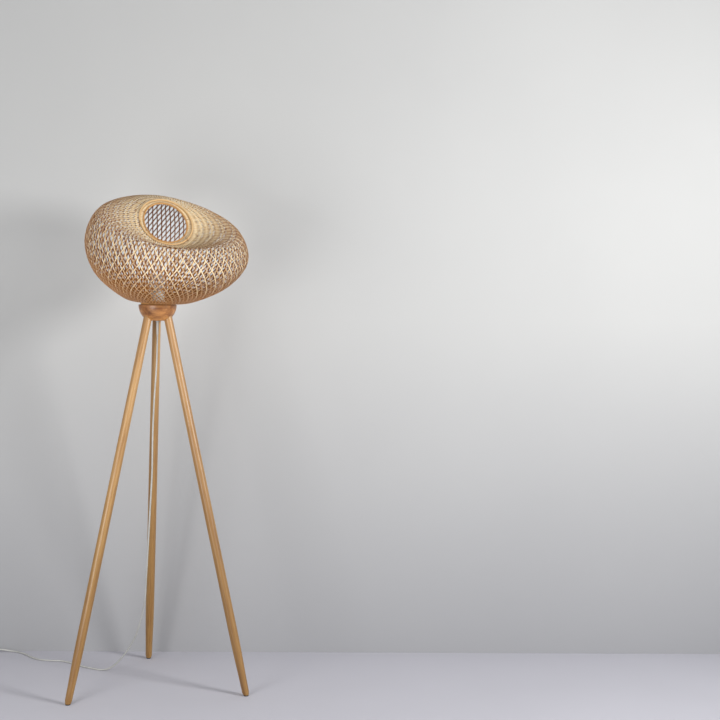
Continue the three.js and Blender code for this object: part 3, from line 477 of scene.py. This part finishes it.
# the cord: down from the hub, over the floor along the wall, to the foot switch
gripFacts = {"flange": 2.5, "sleeve": 38}
switchFacts = {"x": -562, "y": 410, "half": 36, "relief": 22, "entry": 9}
dropFacts = {"diameter": 5, "replaces": ["cord_drop"], "farEnd": "fitting", "lay": "loose",
             "pieces": [spring] + solids(
                 "switch_base", "switch_cover", "switch_button", "switch_contact_block",
                 "switch_screw_1", "switch_screw_2", "switch_relief_in", "switch_relief_out")}
rest = 2.8  # how high the cord's middle lies over the floor
cordExit = hubBottom - gripFacts["flange"] - gripFacts["sleeve"] - 2 * clearance
switchReach = switchFacts["half"] + switchFacts["relief"] + 2 * clearance
switchY, switchEntry = switchFacts["y"], switchFacts["entry"]
dropRoute = [
    (0, 0, cordExit), (0, 0, 1040), (-2, 2, 960), (-8, 6, 860), (-12, 12, 750),
    (-13, 18, 640), (-18, 27, 530), (-23, 39, 420), (-28, 56, 320), (-32, 74, 240),
    (-43, 90, 180), (-60, 106, 122), (-82, 124, 78), (-106, 140, 42), (-130, 153, 17),
    (-149, 162, 6), (-168, 170, rest), (-200, 192, rest), (-232, 221, rest),
    (-262, 254, rest), (-294, 280, rest), (-330, 288, rest), (-364, 303, rest),
    (-392, 334, rest), (-416, 372, rest), (-443, 400, rest), (-468, 409, 4.5),
    (-484, switchY, 7.5), (-496, switchY, 8.9),
    (switchFacts["x"] + switchReach, switchY, switchEntry),
]
cordPiece("supply_cord", centripetal(dropRoute, 6), dropFacts)

# the rest of it, wound in two layers beside the switch, with the plug on its end
coilFacts = {"x": -612, "y": 336, "radius": 27.5, "perLayer": 2, "pitch": 5.6, "perTurn": 24,
             "climbTurns": 0.5, "diameter": 5, "replaces": ["cord_link", "cord_coil", "cord_tail"],
             "farEnd": "plug", "lay": "coiled",
             "pieces": solids("plug_relief", "plug_body", "plug_pin_left", "plug_pin_right")}


def coilLine(facts):
    # inwards in the lower layer, up in the middle, and outwards in the upper layer
    inner = facts["radius"] - facts["pitch"] * facts["perLayer"] / 2
    steps = 2 * facts["perLayer"] * facts["perTurn"]
    line = []
    for i in range(steps + 1):
        fromMiddle = (i - steps / 2) / facts["perTurn"]
        angle = math.pi + 2 * math.pi * i / facts["perTurn"]
        radius = inner + facts["pitch"] * abs(fromMiddle)
        share = min(max(fromMiddle / facts["climbTurns"] + 0.5, 0), 1)
        climb = share * share * (3 - 2 * share)
        line.append(Vector((facts["x"] + radius * math.cos(angle), facts["y"] + radius * math.sin(angle),
                            rest + facts["pitch"] * climb)))
    straight = Vector((0, facts["diameter"], 0))
    return [line[0] + straight] + line + [line[-1] - straight]


coil = coilLine(coilFacts)
coilStart, coilEnd = coil[0], coil[-1]
linkRoute = [
    (switchFacts["x"] - switchReach, switchY, switchEntry), (-627, switchY - 0.5, 8.6),
    (-636, 405, 6.5), (-642.5, 395, 4.2), (coilStart.x, 381, rest), (coilStart.x, 366, rest),
    (coilStart.x, 352, rest), coilStart,
]
tailRoute = [coilEnd, coilEnd - Vector((0, 14, 0.5)), (coilEnd.x, coilEnd.y - 28, 6.8),
             (coilEnd.x, coilEnd.y - 42, 6.8)]
storedLine = centripetal(linkRoute, 5)[:-1] + coil + centripetal(tailRoute, 4)[1:]
cordPiece("stored_cord", storedLine, coilFacts)
print("cords made")

# the stand's legs, on the same lines as the solids; heights run down from the seat
legFacts = {"apex": hubTop + 105, "circle": 296, "seat": hubTop - 32, "turn": 3.9,
            "names": {"left": 210, "right": 330, "back": 90},
            "top": 12.3, "belly": 13.2, "foot": 9.2, "taper": 150, "fullness": 0.45, "neck": 32,
            "edge": 1.2, "pad": 3, "steps": 48, "sides": 48, "footRise": 6, "footEnd": 9,
            "footRows": [(0, -3), (7.2, -3), (8.1, 0), (8.75, 2.5), (9.1, 5)]}
splay = math.atan(legFacts["circle"] / legFacts["apex"])
seatRadius = (legFacts["apex"] - legFacts["seat"]) * math.tan(splay)
legLength = (legFacts["seat"] - legFacts["pad"] - clearance) / math.cos(splay)


def legMatrix(degrees):
    turn = Matrix.Rotation(math.radians(degrees + legFacts["turn"]), 4, "Z")
    lean = Matrix.Rotation(-splay, 4, "Y")
    return axis @ turn @ Matrix.Translation((seatRadius * mm, 0, legFacts["seat"] * mm)) @ lean


def legRadius(facts, height):
    halfTaper = (facts["foot"] + facts["belly"]) / 2 + facts["fullness"]
    knots = [(-legLength + facts["footRise"], facts["foot"]),
             (-legLength + facts["taper"] / 2, halfTaper),
             (-legLength + facts["taper"], facts["belly"]),
             (-legLength / 2, facts["belly"]), (-facts["neck"], facts["top"])]
    heights, radii = zip(*knots)
    return float(np.interp(height, heights, radii))


def legMesh(facts):
    rows = [(radius, -legLength + rise) for radius, rise in facts["footRows"]]
    low, high = -legLength + facts["footEnd"], -facts["neck"]
    heights = [low + (high - low) * k / facts["steps"] for k in range(facts["steps"] + 1)]
    radii = [legRadius(facts, height) for height in heights]
    for k, height in enumerate(heights):
        near = radii[max(k - 2, 0):k + 3]
        rows.append((sum(near) / len(near), height))
    rows += [(facts["top"], -clearance - facts["edge"]),
             (facts["top"] - facts["edge"], -clearance), (0, -clearance)]
    work = revolved(rows, facts["sides"])
    # the foot is cut level with the floor
    down = Vector((-math.sin(splay), 0, -math.cos(splay)))
    cut = bmesh.ops.bisect_plane(work, geom=work.verts[:] + work.edges[:] + work.faces[:],
                                 plane_co=Vector((0, 0, -legLength * mm)), plane_no=down,
                                 clear_outer=True)
    rim = [e for e in cut["geom_cut"] if isinstance(e, bmesh.types.BMEdge)]
    bmesh.ops.contextual_create(work, geom=rim)
    return work


for number, (name, degrees) in enumerate(legFacts["names"].items()):
    oak = woodShader("leg_wood_" + name, legWoodFacts, seed=number + 1)
    smoothPiece("oak_leg_" + name, legMesh(legFacts), lampBody, ["leg_" + name], oak,
                legMatrix(degrees))
print("legs made")

# the hub: half a ball with its bottom turned flat, and sockets bored for the legs
hubFacts = {"radius": 56, "height": 47, "edge": 1.5, "recess": 19.2, "recessDepth": 20, "bore": 5.2,
            "counterbore": 11, "counterboreDepth": 6, "chamfer": 0.6, "lip": 0.5, "rimInset": 0.4,
            "steps": 24, "sides": 96, "socket": 12.6, "socketDepth": 60, "socketSides": 64}


def hubMesh(facts):
    # half the hub's outline, from the through bore's low end round to its high end
    radius, low = facts["radius"], -facts["height"]
    rows = [(facts["bore"], low + facts["counterboreDepth"]),
            (facts["counterbore"], low + facts["counterboreDepth"]),
            (facts["counterbore"], low + facts["chamfer"]),
            (facts["counterbore"] + facts["chamfer"], low)]
    start = math.asin(facts["height"] / radius)
    end = math.asin(facts["edge"] / radius)
    for k in range(facts["steps"] + 1):
        angle = start + (end - start) * k / facts["steps"]
        rows.append((radius * math.cos(angle), -radius * math.sin(angle)))
    rows += [(radius - facts["rimInset"], -facts["lip"]), (radius - facts["edge"], 0),
             (facts["recess"] + facts["lip"], 0), (facts["recess"], -facts["lip"]),
             (facts["recess"], -facts["recessDepth"]), (facts["bore"], -facts["recessDepth"])]
    rows.append(rows[0])
    return revolved(rows, facts["sides"])


def boreSockets(hub, facts):
    cutters = []
    for name, degrees in legFacts["names"].items():
        bore = bmesh.new()
        bmesh.ops.create_cone(bore, cap_ends=True, segments=facts["socketSides"],
                              radius1=facts["socket"] * mm, radius2=facts["socket"] * mm,
                              depth=facts["socketDepth"] * mm)
        data = bpy.data.meshes.new("socket_" + name)
        bore.to_mesh(data)
        bore.free()
        cutter = bpy.data.objects.new("socket_" + name, data)
        bpy.context.collection.objects.link(cutter)
        halfDown = Matrix.Translation((0, 0, -facts["socketDepth"] * mm / 2))
        cutter.matrix_world = legMatrix(degrees) @ halfDown
        cutting = hub.modifiers.new("socket_" + name, "BOOLEAN")
        cutting.object = cutter
        cutting.solver = "EXACT"
        cutters.append(cutter)
    bpy.context.view_layer.update()
    solved = hub.evaluated_get(bpy.context.evaluated_depsgraph_get())
    bored = bpy.data.meshes.new_from_object(solved)
    hub.modifiers.clear()
    hub.data = bored
    for cutter in cutters:
        bpy.data.objects.remove(cutter)


hubWood = woodShader("hub_wood", hubWoodFacts, seed=7)
turnedHub = smoothPiece("turned_hub", hubMesh(hubFacts), lampBody, ["hub_bowl"], hubWood,
                        placed(z=hubTop))
boreSockets(turnedHub, hubFacts)
print("hub made")

# the shade's wall: tilted circles from the base to the mouth, as in the solids; a strip swings by
# wave over and under the others, and fills no more of its space than cover
shadeFacts = {"belly": 235, "rise": 235, "lean": 84, "tilt": 61, "turn": -70.5, "base": 49.9,
              "mouth": 68.6, "baseRise": 8, "bellyRing": 3,
              "strips": 96, "width": 3.0, "thickness": 0.9, "wave": 0.6, "bellyAngle": 27,
              "cover": 0.8, "footWidth": 2.6, "footShare": 0.36, "perCrossing": 4, "toneSeed": 4,
              "slew": 20, "slewFrom": 0.2, "slewTo": 0.8, "gather": 0.11,
              "runPoints": 801, "runSides": 24}
ringShares = np.array([
    # rise, lean, tilt, girth
    [0, 0, 0, 0],
    [0.051, 0.107, 0.144, 0.312],
    [0.319, 0.424, 0.249, 0.785],
    [0.652, 0.936, 0.3, 1],
    [0.96, 1, 0.367, 0.839],
    [1, 0.894, 0.546, 0.472],
    [0.974, 0.824, 0.785, 0.176],
    [0.981, 0.74, 1, 0],
])


def ringTable(facts):
    # the rings below the belly draw in to the base, and those above it to the mouth
    inner = np.where(np.arange(len(ringShares)) <= facts["bellyRing"], facts["base"], facts["mouth"])
    rise = facts["baseRise"] + facts["rise"] * ringShares[:, 0]
    lean = facts["lean"] * ringShares[:, 1]
    tilt = math.radians(facts["tilt"]) * ringShares[:, 2]
    girth = inner + (facts["belly"] - inner) * ringShares[:, 3]
    return np.stack([rise, lean, tilt, girth], 1)


ringSizes = ringTable(shadeFacts)


def circleAt(share):
    # rise, lean, tilt and girth on a smooth run through the rings, at shares from 0 to 1
    last = len(ringSizes) - 1
    where = np.clip(np.asarray(share, float) * last, 0, last - 1e-9)
    first = np.floor(where).astype(int)
    part = (where - first)[..., None]
    a, b, c, d = (ringSizes[np.clip(first + k, 0, last)] for k in (-1, 0, 1, 2))
    leave, arrive = (c - a) / 2, (d - b) / 2
    return ((2 * b - 2 * c + leave + arrive) * part ** 3
            + (3 * c - 3 * b - 2 * leave - arrive) * part ** 2 + leave * part + b)


def wallPoint(share, turn):
    # a point of the wall's middle surface, from the lamp's axis on the floor
    rise, lean, tilt, girth = np.moveaxis(circleAt(share), -1, 0)
    out = girth * np.cos(turn)
    side = girth * np.sin(turn)
    forward = lean + out * np.cos(tilt)
    height = hubTop + rise - out * np.sin(tilt)
    angle = math.radians(shadeFacts["turn"])
    return np.stack([forward * math.cos(angle) - side * math.sin(angle),
                     forward * math.sin(angle) + side * math.cos(angle), height], -1)


def unit(vectors):
    return vectors / np.linalg.norm(vectors, axis=-1, keepdims=True)


def wallNormal(share, turn):
    step = 0.004
    up = wallPoint(np.minimum(share + step, 1), turn) - wallPoint(np.maximum(share - step, 0), turn)
    sideways = wallPoint(share, turn + step) - wallPoint(share, turn - step)
    return unit(np.cross(sideways, up))


def twistRun(facts):
    # how far a strip turns about the shade by each share, so that its crossings stay evenly spaced
    shares = np.linspace(0, 1, facts["runPoints"])
    turns = np.linspace(0, 2 * math.pi, facts["runSides"], endpoint=False)
    line = wallPoint(shares[:, None], turns[None, :])
    along = np.linalg.norm(np.diff(line, axis=0), axis=-1).mean(1)
    girth = circleAt(shares)[:, 3]
    middle = (girth[1:] + girth[:-1]) / 2
    rate = math.sin(math.radians(facts["bellyAngle"])) / facts["belly"]
    twist = np.concatenate([[0], np.cumsum(along * rate / np.sqrt(1 - (rate * middle) ** 2))])
    return shares, twist


def slewed(facts, share, turn):
    # the weave is wider at the front, gathered at the back, and pulled round a little there
    run = np.clip((share - facts["slewFrom"]) / (facts["slewTo"] - facts["slewFrom"]), 0, 1)
    back = (1 - np.cos(turn)) / 2
    pulled = math.radians(facts["slew"]) * run * run * (3 - 2 * run) * back
    return turn + facts["gather"] * np.sin(turn) - pulled


def stripWidth(facts, share):
    # wider at the shade's foot, and never as wide as the space between neighbours
    pitch = 2 * math.pi * circleAt(share)[:, 3] / facts["strips"]
    width = facts["width"] + facts["footWidth"] * np.clip(1 - share / facts["footShare"], 0, 1)
    return np.minimum(width, pitch * facts["cover"])


def tubeFaces(first, sides, count, closed):
    # faces of a tube whose corners are numbered along one side after the other
    faces = []
    for j in range(count if closed else count - 1):
        n = (j + 1) % count
        for a in range(sides):
            here, beside = first + a * count, first + (a + 1) % sides * count
            faces.append((here + j, beside + j, beside + n, here + n))
    if not closed:
        starts = [first + a * count for a in range(sides)]
        faces.append(tuple(reversed(starts)))
        faces.append(tuple(start + count - 1 for start in starts))
    return faces


def meshPiece(name, points, faces, replaced, material, marks, smooth=True):
    # marks are the values that the bamboo's shader reads at each corner
    data = bpy.data.meshes.new(name)
    data.from_pydata((np.asarray(points) * mm).tolist(), [], faces)
    for key, values in marks.items():
        mark = data.attributes.new(key, "FLOAT", "POINT")
        mark.data.foreach_set("value", np.asarray(values, np.float32))
    data.polygons.foreach_set("use_smooth", [smooth] * len(data.polygons))
    data.update()
    addPiece(name, data, lampBody, replaced, material, axis)


def latticeMesh(facts):
    # two families of strips that cross over and under each other at every crossing
    shares, twist = twistRun(facts)
    crossings = int(facts["strips"] * twist[-1] / math.pi)
    count = crossings * facts["perCrossing"] + 1
    turned = np.linspace(0, twist[-1], count)
    share = np.interp(turned, twist, shares)
    half = stripWidth(facts, share)[:, None] / 2
    thick = facts["thickness"] / 2
    pick = random.Random(facts["toneSeed"])
    points, faces = [], []
    marks = {"along": [], "across": [], "tone": [], "skin": [], "rise": []}
    for family in (1, -1):
        wave = family * facts["wave"] * np.cos(facts["strips"] * turned)
        for k in range(facts["strips"]):
            turn = slewed(facts, share, 2 * math.pi * k / facts["strips"] + family * turned)
            centre = wallPoint(share, turn)
            normal = wallNormal(share, turn)
            over = np.cross(normal, unit(np.gradient(centre, axis=0)))
            centre = centre + normal * wave[:, None]
            spans = np.linalg.norm(np.diff(centre, axis=0), axis=1)
            travelled = np.concatenate([[0], np.cumsum(spans)]) * mm
            tone = (k % 2 + pick.random()) / 2
            faces += tubeFaces(len(marks["along"]), 4, count, closed=False)
            for side, lift in ((-1, -1), (1, -1), (1, 1), (-1, 1)):
                points.append(centre + over * half * side + normal * thick * lift)
                marks["along"].extend(travelled)
                marks["across"].extend([max(side, 0)] * count)
                marks["tone"].extend([tone] * count)
                marks["skin"].extend([max(lift, 0)] * count)
                marks["rise"].extend(share)
    print("lattice:", crossings, "crossings along a strip,", len(faces), "faces")
    return np.concatenate(points), faces, marks


latticePoints, latticeFaces, latticeMarks = latticeMesh(shadeFacts)
weaveNodes = [f"shade_weave_{name}" for name in ("foot", "body", "shoulder", "crown")]
meshPiece("bamboo_lattice", latticePoints, latticeFaces, weaveNodes, bamboo,
          latticeMarks, smooth=False)
print("lattice made")

# the hoops: one inside the wall's end at the mouth, one on its outside, and one at the base
hoopFacts = {"wire": 5, "mouth": 63, "halfWall": 1.2, "share": 0.93, "points": 144, "sides": 16,
             "bands": 3, "tone": 0.4}
baseHoopFacts = {"radius": 47.8, "rise": 5.3, "width": 3, "height": 10, "corner": 0.3}


def ringTube(name, line, outward, width, height, node, material, corner=1):
    # a closed hoop; outward is its radial direction at each point, and corner 1 a round section
    count, sides = len(line), hoopFacts["sides"]
    ahead = unit(np.roll(line, -1, 0) - np.roll(line, 1, 0))
    upward = np.cross(ahead, outward)
    angles = 2 * math.pi * np.arange(sides) / sides
    flat = 1 / np.maximum(np.abs(np.cos(angles)), np.abs(np.sin(angles)))
    reach = corner + (1 - corner) * flat
    points = [line + outward * (width / 2 * math.cos(a) * r) + upward * (height / 2 * math.sin(a) * r)
              for a, r in zip(angles, reach)]
    total = count * sides
    spans = np.linalg.norm(np.roll(line, -1, 0) - line, axis=1)
    marks = {"along": np.tile(np.cumsum(spans) * mm, sides),
             "across": np.repeat(angles / (2 * math.pi) * hoopFacts["bands"], count),
             "tone": np.full(total, hoopFacts["tone"]), "skin": np.ones(total),
             "rise": np.ones(total)}
    meshPiece(name, np.concatenate(points), tubeFaces(0, sides, count, closed=True), [node],
              material, marks)


turns = 2 * math.pi * np.arange(hoopFacts["points"]) / hoopFacts["points"]
endShare = np.ones(hoopFacts["points"])
mouthCentre = wallPoint(endShare, turns).mean(0)
mouthOut = unit(wallPoint(endShare, turns) - mouthCentre)
innerLine = mouthCentre + mouthOut * (hoopFacts["mouth"] + hoopFacts["wire"] / 2)
ringTube("hoop_inside", innerLine, mouthOut, hoopFacts["wire"], hoopFacts["wire"],
         "mouth_hoop_inner", bambooHoop)
seatShare = endShare * hoopFacts["share"]
offWall = hoopFacts["halfWall"] + clearance + hoopFacts["wire"] / 2
outerLine = wallPoint(seatShare, turns) + wallNormal(seatShare, turns) * offWall
outerOut = unit(outerLine - outerLine.mean(0))
ringTube("hoop_outside", outerLine, outerOut, hoopFacts["wire"], hoopFacts["wire"],
         "mouth_hoop_outer", paleHoop)
baseOut = np.stack([np.cos(turns), np.sin(turns), np.zeros(len(turns))], -1)
baseLine = baseOut * baseHoopFacts["radius"] + np.array([0, 0, hubTop + baseHoopFacts["rise"]])
ringTube("hoop_base", baseLine, baseOut, baseHoopFacts["width"], baseHoopFacts["height"],
         "shade_base_hoop", bambooHoop, baseHoopFacts["corner"])
print("hoops made")

# the bulb's glass globe; the bulb's heights run up from the hub's top
globeFacts = {"radius": 22.5, "neck": 11.8, "neckHeight": 8, "wall": 0.7, "lip": 1, "steps": 32}
capFacts = {"low": 22.1, "height": 21, "inside": 12.1, "outside": 13.0, "pitch": 3.63, "fade": 1.5,
            "perPitch": 8, "sides": 48, "gap": 0.1}
neckLow = capFacts["low"] + capFacts["height"] - globeFacts["neckHeight"] / 2
neckHigh = neckLow + globeFacts["neckHeight"]
globeCentre = neckHigh + math.sqrt(globeFacts["radius"] ** 2 - globeFacts["neck"] ** 2)
bulbPlace = placed(z=hubTop)


def globeRows(facts, inset):
    # from the neck's foot to the globe's top, drawn in by the inset
    radius, neck = facts["radius"] - inset, facts["neck"] - inset
    start = math.asin((neckHigh - globeCentre) / facts["radius"])
    rows = [(neck - facts["lip"], neckLow + inset), (neck, neckLow + facts["lip"] + inset)]
    for k in range(facts["steps"]):
        angle = start + (math.pi / 2 - start) * k / facts["steps"]
        rows.append((radius * math.cos(angle), globeCentre + radius * math.sin(angle)))
    return rows + [(0, globeCentre + radius)]


def globeMesh(facts):
    # a blown shell, open at the neck, where the cap holds it
    work = revolved(globeRows(facts, 0))
    inner = revolved(list(reversed(globeRows(facts, facts["wall"]))))
    shell = bpy.data.meshes.new("shell")
    inner.to_mesh(shell)
    inner.free()
    work.from_mesh(shell)
    bpy.data.meshes.remove(shell)
    bmesh.ops.bridge_loops(work, edges=[e for e in work.edges if e.is_boundary])
    return work


smoothPiece("globe", globeMesh(globeFacts), bulbBody, ["bulb_glass"], globeGlass,
            bulbPlace)

# the glass stem: radius and rise from the neck's foot, then from its top
stemFacts = {"low": [(0, 2), (8.6, 2), (3.6, 6)], "high": [(3.6, 3), (1.8, 6), (0, 6.4)], "sides": 32}
stemRows = [(radius, neckLow + rise) for radius, rise in stemFacts["low"]]
stemRows += [(radius, neckHigh + rise) for radius, rise in stemFacts["high"]]
smoothPiece("glass_stem", revolved(stemRows, stemFacts["sides"]), bulbBody, [],
            globeGlass, bulbPlace)

# the filament: leads are places along x and over the neck
filamentFacts = {"wire": 0.5, "leads": [(2, 4), (4, 9)], "spread": 7, "rise": 2, "bow": 2.5,
                 "coilRadius": 0.9, "coilTurns": 22, "perTurn": 8, "coilWire": 0.25}


def filamentMesh(facts):
    # two lead wires up from the stem, and the wound wire between their tips
    high = globeCentre + facts["rise"]
    steps = facts["coilTurns"] * facts["perTurn"]
    wound = []
    for i in range(steps + 1):
        share = i / steps
        angle = 2 * math.pi * facts["coilTurns"] * share
        bow = facts["bow"] * math.sin(math.pi * share)
        wound.append(Vector((facts["spread"] * (2 * share - 1), facts["coilRadius"] * math.cos(angle),
                             high + bow + facts["coilRadius"] * math.sin(angle))))
    left = [Vector((-x, 0, neckHigh + rise)) for x, rise in facts["leads"]]
    left.append(Vector((-facts["spread"], 0, high)))
    right = [Vector((-p.x, p.y, p.z)) for p in reversed(left)]
    work = bmesh.new()
    for line, width in ((left, facts["wire"]), (wound, facts["coilWire"]), (right, facts["wire"])):
        wire(work, line, width)
    return work


smoothPiece("filament", filamentMesh(filamentFacts), bulbBody, [], tungsten, bulbPlace)


def threadMesh(facts, low, high):
    # a rolled thread: the wall's radius swings once in each pitch along a helix
    rows = int((high - low) / facts["pitch"] * facts["perPitch"])
    work = bmesh.new()
    grid = []
    for r in range(rows + 1):
        height = low + (high - low) * r / rows
        fade = min(1, (height - low) / facts["fade"], (high - height) / facts["fade"])
        row = []
        for angle in wheel(facts["sides"]):
            swing = 0.5 + 0.5 * math.cos(2 * math.pi * height / facts["pitch"] - angle)
            radius = facts["inside"] + (facts["outside"] - facts["inside"]) * swing * fade
            row.append(work.verts.new(onCircle(radius, angle, height)))
        grid.append(row)
    return joinRows(work, grid, capped=True)


smoothPiece("threaded_cap", threadMesh(capFacts, capFacts["low"], neckLow - capFacts["gap"]), bulbBody,
            ["bulb_cap"], zinc, bulbPlace)
print("bulb made")

# the solids that stay, each in its own finish
finishes = {
    zinc: ["leg_stud_left", "leg_stud_right", "leg_stud_back", "nipple_tube", "hub_washer",
           "hub_lock_nut", "shade_fitter", "switch_screw_1", "switch_screw_2"],
    brass: ["leg_insert_left", "leg_insert_right", "leg_insert_back", "holder_screw_shell",
            "holder_contact_tongue", "bulb_contact", "plug_pin_left", "plug_pin_right"],
    whitePlastic: ["holder_cap", "holder_skirt", "shade_clamp_ring", "switch_base", "switch_cover",
                   "switch_button", "plug_relief", "plug_body"],
    steatite: ["holder_insulator", "switch_contact_block"],
    darkGlass: ["bulb_insulator"],
    clearVinyl: ["cord_grip", "supply_lead", "switch_relief_in", "switch_relief_out"],
    padRubber: ["foot_pad_left", "foot_pad_right", "foot_pad_back"],
}
for material, names in finishes.items():
    for solid in solids(*names):
        solid.material_slots[0].material = material
print("finishes set")

# the stage: a floor, and a wall that is clear from behind; low is the wall's paint near the floor,
# painted darker as shade where the light falls off
floorFacts = {"half": 8, "tint": color(191, 190, 197), "cloud": color(120, 120, 124)}
wallFacts = {"half": 6, "height": 6, "x": -0.468, "y": 0.422, "slope": -0.1088,
             "tint": color(191, 191, 189), "cloud": color(120, 120, 124),
             "low": color(166, 166, 168), "lowHeights": (0, 1.1)}


def flatStage(name, corners, material):
    data = bpy.data.meshes.new(name)
    data.from_pydata(corners, [], [(0, 1, 2, 3)])
    data.materials.append(material)
    piece = bpy.data.objects.new(name, data)
    bpy.context.collection.objects.link(piece)


def plasterShader(name, facts, clearBehind=False):
    shader = Shader(name, Roughness=0.9, Specular_IOR_Level=0.1)
    cloud = shader.noise(shader.place(even(1.4)))
    base = facts["tint"]
    if "low" in facts:
        # painted shade: the wall darkens towards the floor, as the light falls off
        base = shader.mix(shader.spread(shader.height(), *facts["lowHeights"]), facts["low"], base)
    shader.into(Base_Color=shader.mix(shader.spread(cloud, 0.3, 0.7, 0, 0.06), base, facts["cloud"]))
    if clearBehind:
        behind = shader.node("ShaderNodeNewGeometry", output="Backfacing")
        clear = shader.node("ShaderNodeBsdfTransparent")
        paint = Socket(shader, shader.surface.outputs[0])
        both = shader.node("ShaderNodeMixShader", {}, {0: behind, 1: paint, 2: clear})
        shader.join(both, shader.tree.nodes["Material Output"].inputs["Surface"])
    return shader.material


half = floorFacts["half"]
flatStage("floor", [(-half, -half, 0), (half, -half, 0), (half, half, 0), (-half, half, 0)],
          plasterShader("floor_paint", floorFacts))
wallFoot = [axis @ Vector((x, wallFacts["y"] + wallFacts["slope"] * (x - wallFacts["x"]), 0))
            for x in (-wallFacts["half"], wallFacts["half"])]
wallTop = [foot + Vector((0, 0, wallFacts["height"])) for foot in reversed(wallFoot)]
flatStage("wall", wallFoot + wallTop, plasterShader("wall_paint", wallFacts, clearBehind=True))

# soft lamps, and a weak one that lights the wall behind the shade
lamps = {
    "key": {"at": (2.1, -1.7, 1.6), "aim": (0, 0, 1.2), "size": (0.7, 0.7), "power": 55},
    "front_fill": {"at": (-2.0, -3.6, 1.3), "aim": (0, 0, 1.1), "size": (2.4, 2.4), "power": 30},
    "low_fill": {"at": (-0.9, -1.5, 0.75), "aim": (0, 0, 1.25), "size": (0.8, 0.8), "power": 13},
    "top_fill": {"at": (-0.4, -1.4, 4.0), "aim": (-0.2, 0.2, 1.0), "size": (2.6, 2.6), "power": 14},
    "wall_glow": {"at": (0.05, 0.25, 1.31), "aim": (0.06, 0.39, 1.31), "size": (0.38, 0.26),
                  "power": 0.2},
}


def areaLight(name, facts):
    data = bpy.data.lights.new(name, "AREA")
    data.shape = "ELLIPSE"
    data.size, data.size_y = facts["size"]
    data.energy = facts["power"]
    lamp = bpy.data.objects.new(name, data)
    bpy.context.collection.objects.link(lamp)
    lamp.location = facts["at"]
    lamp.rotation_mode = "QUATERNION"
    lamp.rotation_quaternion = (Vector(facts["aim"]) - Vector(facts["at"])).to_track_quat("-Z", "Y")
    lamp.visible_camera = False


for name, facts in lamps.items():
    areaLight(name, facts)

# the backdrop looks paler to the eye, and in gloss and glass, than the light that it gives
worldFacts = {"tint": color(222, 224, 228), "light": 0.49, "seen": 0.72}


def makeWorld(facts):
    world = bpy.data.worlds.new("studio")
    world.use_nodes = True
    tree = NodeTree(world.node_tree)
    sky = world.node_tree.nodes["Background"].inputs
    rays = ("Is Camera Ray", "Is Glossy Ray", "Is Transmission Ray")
    camera, glossy, through = (tree.node("ShaderNodeLightPath", output=ray) for ray in rays)
    reflected = tree.node("ShaderNodeMath", {"operation": "MAXIMUM"}, {0: glossy, 1: through})
    seen = tree.node("ShaderNodeMath", {"operation": "MAXIMUM"}, {0: camera, 1: reflected})
    tree.join(facts["tint"], sky["Color"])
    tree.join(tree.spread(seen, 0, 1, facts["light"], facts["seen"]), sky["Strength"])
    bpy.context.scene.world = world


makeWorld(worldFacts)
bpy.context.scene.view_settings.view_transform = "Standard"
print("stage and lights made")
